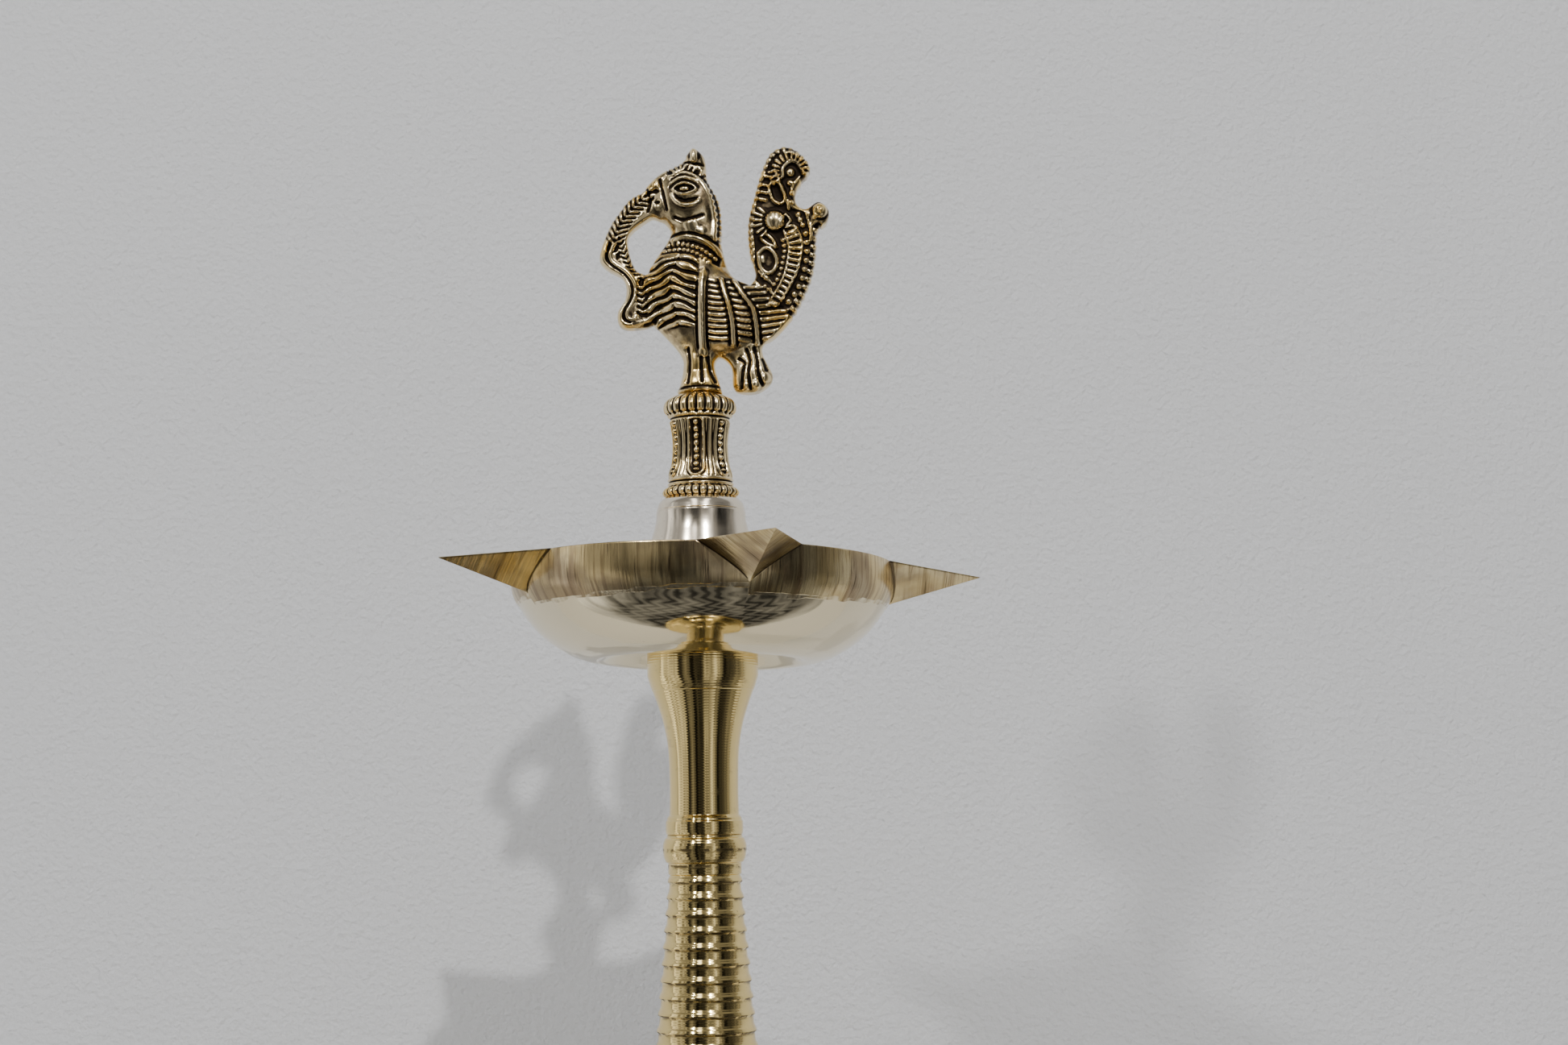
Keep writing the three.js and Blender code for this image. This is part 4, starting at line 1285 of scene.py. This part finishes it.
def pedestal_mesh():
    """The cast pedestal: gadrooned rings above and below, six beaded tongues between them."""
    low, high = foot_of("finial_pedestal") - 0.26, top("finial_pedestal")
    outline = catmull([(9.1, low), (9.9, low + 0.5), (10.2, low + 1.3), (9.7, low + 2.3),
                       (8.8, low + 3.2), (8.85, low + 4.4), (8.4, low + 6.6), (7.5, low + 9.8),
                       (7.2, low + 14.8), (7.7, low + 19.2), (8.2, low + 21.4), (8.5, low + 22.4),
                       (9.3, low + 23.4), (9.5, low + 25.0), (8.9, low + 26.6), (7.4, low + 27.7),
                       (6.2, high)], 190)
    count = PEDESTAL_STEPS
    angles = np.arange(count) / count * TURN
    radius = np.array([r for r, z in outline])[:, None]
    z = np.array([h for r, h in outline])[:, None] - low
    turn = angles[None, :]
    relief = np.zeros((len(outline), count))

    def ring(centre, half, number, height, phase=0.0):
        band = np.clip(1 - ((z - centre) / half) ** 2, 0, 1) ** 0.5
        lobes = np.abs(np.cos(number * (turn - phase) / 2)) ** 0.6
        return band * (lobes - 0.55) * height

    relief += ring(1.3, 1.7, 30, 0.75)
    relief += ring(25.2, 3.0, 24, 1.15, 0.05)
    for centre, width, size in ((3.5, 0.35, 0.3), (4.6, 0.3, 0.25), (22.2, 0.35, 0.35)):
        relief += size * np.exp(-((z - centre) / width) ** 2)
    for centre in (2.75, 4.05, 21.6, 22.9):
        relief -= 0.35 * np.exp(-((z - centre) / 0.28) ** 2)
    field = soft(z, 5.0, 5.6) * soft(-z, -21.2, -20.6)
    part = ((turn - 0.40) / TURN * TONGUES + 0.5) % 1 - 0.5
    x = part * TURN / TONGUES * radius
    tongue = np.where(z > 7.5, np.abs(x), np.hypot(x, z - 7.5)) - 2.05
    relief += field * 0.42 * np.exp(-(tongue / 0.32) ** 2)
    relief -= field * 0.45 * soft(-tongue, 0.2, 0.5)
    relief -= field * 0.35 * np.exp(-((tongue - 0.62) / 0.22) ** 2)
    step = (z / BEAD_PITCH) % 1 - 0.5
    bead = np.hypot(x, step * BEAD_PITCH) / BEAD_RADIUS
    relief += (soft(z, 6.6, 7.0) * soft(-z, -20.9, -20.4)
               * np.sqrt(np.clip(1 - bead ** 2, 0, 1)))
    relief += field * 0.3 * np.exp(-((np.abs(x) - 1.35) / 0.2) ** 2) * soft(z, 6.5, 8)
    other = (part + 1) % 1 - 0.5
    across = other * TURN / TONGUES * radius
    relief += field * 0.25 * np.exp(-(across / 0.4) ** 2)
    relief -= field * 0.30 * np.exp(-((np.abs(across) - 0.72) / 0.2) ** 2)
    relief += field * 0.18 * np.exp(-((np.abs(across) - 1.15) / 0.25) ** 2)
    wear = soft(relief - blurred(relief, 5.0), -0.2, 0.05)
    full = radius + relief
    corners = [(r * math.cos(a), r * math.sin(a), h + low)
               for row, h in zip(full, z[:, 0]) for r, a in zip(row, angles)]
    faces = []
    rows = len(outline)
    for k in range(rows - 1):
        for i in range(count):
            j = (i + 1) % count
            faces.append((k * count + i, k * count + j, (k + 1) * count + j, (k + 1) * count + i))
    shade = list(wear.reshape(-1))
    socket = [(2.3, high), (2.3, high - 5), (0, high - 5)]
    for start, run in (((rows - 1) * count, socket), (0, bore(low, 1))):
        last = start
        for r, h in run:
            base = len(corners)
            corners += [(r * math.cos(a), r * math.sin(a), h) for a in angles]
            shade += [0.2] * count
            faces += [(last + i, last + (i + 1) % count, base + (i + 1) % count, base + i)
                      for i in range(count)]
            last = base
    mesh = raw_mesh("gadrooned_pedestal", corners, faces)
    marked(mesh, "wear", shade)
    return cleaned(mesh, WELD)


class LAMP_OT_pedestal(bpy.types.Operator):
    """Casts the small gadrooned pedestal under the peacock"""
    bl_idname = "lamp.pedestal"
    bl_label = "Gadrooned pedestal"

    def execute(self, context):
        brass = bpy.data.materials["antique_brass"]
        place_piece("gadrooned_pedestal", pedestal_mesh(), brass, "finial",
                    ["finial_pedestal"])
        return {"FINISHED"}


# ------------------------------------------------------------------ finishes and stage

WALL_Y = 0.23                # wall behind the lamp, in metres like the rest of the stage
SLAB, SLAB_FRONT = 0.7, 0.03  # floor that the brass mirrors: half width, front edge
ROOM, UNDER = 3, -0.0005     # reach of the wall and outer floor, and how low that floor lies
LIGHT_AIM = Vector((0, 0, 0.36))
CAMERA_PLACE = (0.0227, -0.680, 0.2786)
CAMERA_PITCH, CAMERA_ROLL = 96.2, -0.845
LENS, SENSOR = 57.35, 36
CARPET, OPENING = 0.5, 4.0   # brightness below, and of the strips of light overhead
BACKDROP = 0.75              # what the camera sees past the wall

class LAMP_OT_finishes(bpy.types.Operator):
    """Mixes the metals of the lamp"""
    bl_idname = "lamp.finishes"
    bl_label = "Finishes"

    def execute(self, context):
        metal("lathe_brass", turned_brass)
        metal("ridged_brass", lambda nodes, place: turned_brass(nodes, place, True))
        metal("pan_brass", pan_brass)
        metal("plated_brass", silvered_brass)
        metal("antique_brass", aged_brass)
        metal("screw_metal", screw_metal)
        return {"FINISHED"}


def flat(name, corners, material):
    mesh = bpy.data.meshes.new(name)
    mesh.from_pydata(corners, [], [tuple(range(len(corners)))])
    mesh.materials.append(material)
    sheet = bpy.data.objects.new(name, mesh)
    bpy.context.scene.collection.objects.link(sheet)
    return sheet


def soft_light(name, place, width, power, warmth):
    """A square light aimed at the bowl."""
    lamp = bpy.data.lights.new(name, "AREA")
    lamp.shape = "RECTANGLE"
    lamp.size, lamp.size_y = width, width
    lamp.energy = power
    lamp.color = warmth
    light = bpy.data.objects.new(name, lamp)
    light.location = place
    light.rotation_euler = (LIGHT_AIM - Vector(place)).to_track_quat("-Z", "Y").to_euler()
    light.visible_camera = False
    bpy.context.scene.collection.objects.link(light)


# Brightness of the room by direction, from behind the lamp on the left, past the viewer in
# the middle, to behind it on the right: doorways, a window and dark furniture.
ROOM_PANELS = [
    (0.0, 0.42), (0.20, 0.44), (0.25, 0.50), (0.285, 0.32), (0.355, 0.22), (0.364, 0.012),
    (0.380, 0.012), (0.388, 0.08), (0.425, 0.09), (0.432, 0.004), (0.452, 0.005), (0.460, 0.03),
    (0.497, 0.008), (0.507, 0.10), (0.520, 0.17), (0.555, 0.15), (0.572, 0.34), (0.590, 0.30),
    (0.602, 0.16), (0.618, 0.10), (0.628, 0.012), (0.670, 0.02), (0.700, 0.045), (0.730, 0.10),
    (0.775, 0.14), (0.810, 0.24), (0.850, 0.34), (0.910, 0.42), (1.0, 0.42),
]


def room_light(strength):
    """A quiet room: pale walls behind, darker room with bright openings in front."""
    world = bpy.context.scene.world or bpy.data.worlds.new("room")
    bpy.context.scene.world = world
    world.use_nodes = True
    world.node_tree.nodes.clear()
    nodes = Nodes(world.node_tree)
    x, y, z = nodes.parts(nodes.add("ShaderNodeTexCoord", None, None, "Generated"))
    ahead = nodes.noise(nodes.add("ShaderNodeCombineXYZ", None, {0: x, 1: y, 2: z}), 3.5, 2.0)
    sway = (ahead - 0.5) * 0.03
    turn = x.math("ARCTAN2", y * -1) * (1 / TURN) + 0.5 + sway * (1 - z.math("ABSOLUTE"))
    panels = nodes.add("ShaderNodeValToRGB", {"stops": ROOM_PANELS}, {0: turn})
    bars = nodes.add("ShaderNodeCombineXYZ", None, {0: turn * 46, 2: z * 1.6})
    streak = 0.5 + nodes.noise(bars, 1, 2.0).between(0.3, 0.7) * 2.6
    shade = nodes.add("ShaderNodeRGBToBW", None, {0: panels}) * streak
    below = (0 - z).between(0.55, 0.9)
    near = (y * -1).between(0.15, 0.5)
    dark = (0.42 - y - x.math("ABSOLUTE") * 0.5).between(0, 0.16)
    weave = (x * 9 + (y * 14).math("PINGPONG", 1)).math("PINGPONG", 0.5).between(0.2, 0.3)
    carpet = CARPET - dark * (0.485 - weave * 0.10 - ahead.between(0.5, 0.6) * 0.10)
    above = z.between(0.45, 0.7)
    strip = (x.math("ABSOLUTE") - 0.22).math("ABSOLUTE").between(0.04, 0.10)
    ceiling = 0.22 + (1 - strip) * near * OPENING
    seen = nodes.add("ShaderNodeLightPath", None, None, "Is Camera Ray")
    light = shade * (1 - below) * (1 - above) + carpet * below + ceiling * above
    light = light * (1 - seen) + seen * BACKDROP
    back = nodes.add("ShaderNodeBackground", None, {"Color": (1, 0.985, 0.96, 1),
                                                    "Strength": light * strength})
    nodes.add("ShaderNodeOutputWorld", None, {"Surface": back})


class LAMP_OT_stage(bpy.types.Operator):
    """Sets up the camera, the pale wall and floor, and the soft lights"""
    bl_idname = "lamp.stage"
    bl_label = "Studio"

    def execute(self, context):
        look, light = finishes(), context.scene.lamp_light
        lens = bpy.data.cameras.new("camera")
        lens.lens, lens.sensor_width = LENS, SENSOR
        lens.clip_start, lens.clip_end = 0.01, 50
        camera = bpy.data.objects.new("camera", lens)
        camera.matrix_world = (Matrix.Translation(CAMERA_PLACE)
                               @ Matrix.Rotation(math.radians(CAMERA_PITCH), 4, "X")
                               @ Matrix.Rotation(math.radians(CAMERA_ROLL), 4, "Z"))
        context.scene.collection.objects.link(camera)
        context.scene.camera = camera
        floor = paint("floor_paint", tuple(look.floor), 180, 0.0001)
        wall = paint("wall_paint", tuple(look.wall), 430, 0.0013)
        tree = wall.node_tree
        nodes = Nodes(tree)
        shader = next(n for n in tree.nodes if n.type == "BSDF_PRINCIPLED")
        behind = nodes.add("ShaderNodeNewGeometry", None, None, "Backfacing")
        clear = nodes.add("ShaderNodeBsdfTransparent")
        mixed = nodes.add("ShaderNodeMixShader", None,
                          {0: behind, 1: Socket(nodes, shader.outputs[0]), 2: clear})
        out = next(n for n in tree.nodes if n.type == "OUTPUT_MATERIAL")
        tree.links.new(mixed.socket, out.inputs["Surface"])
        flat("floor", [(-SLAB, SLAB_FRONT, 0), (SLAB, SLAB_FRONT, 0), (SLAB, WALL_Y, 0),
                       (-SLAB, WALL_Y, 0)], floor)
        outer = flat("floor_around", [(-ROOM, -ROOM, UNDER), (ROOM, -ROOM, UNDER),
                                      (ROOM, ROOM, UNDER), (-ROOM, ROOM, UNDER)], floor)
        outer.visible_glossy = False
        flat("wall", [(-ROOM, WALL_Y, 0), (ROOM, WALL_Y, 0), (ROOM, WALL_Y, ROOM),
                      (-ROOM, WALL_Y, ROOM)], wall)
        soft_light("key", (0.40, -1.66, 1.49), 0.04, light.key, (1, 0.98, 0.95))
        soft_light("fill", (-1.0, -1.5, 1.40), 0.10, light.fill, (1, 0.99, 0.97))
        room_light(light.room)
        return {"FINISHED"}


class LAMP_PT_panel(bpy.types.Panel):
    """Lists the lamp's pieces and sizes"""
    bl_idname = "LAMP_PT_panel"
    bl_label = "Oil lamp"
    bl_space_type = "VIEW_3D"
    bl_region_type = "UI"
    bl_category = "Oil lamp"

    def draw(self, context):
        for group in (context.scene.lamp_sizes, context.scene.lamp_finishes,
                      context.scene.lamp_light):
            box = self.layout.box()
            for key in group.bl_rna.properties.keys():
                if key not in ("rna_type", "name"):
                    box.prop(group, key)
        for operator in OPERATORS:
            self.layout.operator(operator.bl_idname)


GROUPS = ((LampSizes, "lamp_sizes"), (LampFinishes, "lamp_finishes"), (LampLight, "lamp_light"))
OPERATORS = (LAMP_OT_stage, LAMP_OT_finishes, LAMP_OT_foot, LAMP_OT_lower_stem,
             LAMP_OT_upper_stem, LAMP_OT_screws, LAMP_OT_bowl, LAMP_OT_sleeve,
             LAMP_OT_pedestal, LAMP_OT_bird)


def register():
    for group, name in GROUPS:
        bpy.utils.register_class(group)
        setattr(bpy.types.Scene, name, PointerProperty(type=group))
    for operator in OPERATORS:
        bpy.utils.register_class(operator)
    bpy.utils.register_class(LAMP_PT_panel)


def unregister():
    bpy.utils.unregister_class(LAMP_PT_panel)
    for operator in reversed(OPERATORS):
        bpy.utils.unregister_class(operator)
    for group, name in reversed(GROUPS):
        delattr(bpy.types.Scene, name)
        bpy.utils.unregister_class(group)


def main():
    register()
    for step in ("stage", "finishes", "foot", "lower_stem", "upper_stem", "screws", "bowl",
                 "sleeve", "pedestal", "bird"):
        getattr(bpy.ops.lamp, step)()


if __name__ == "__main__":
    main()
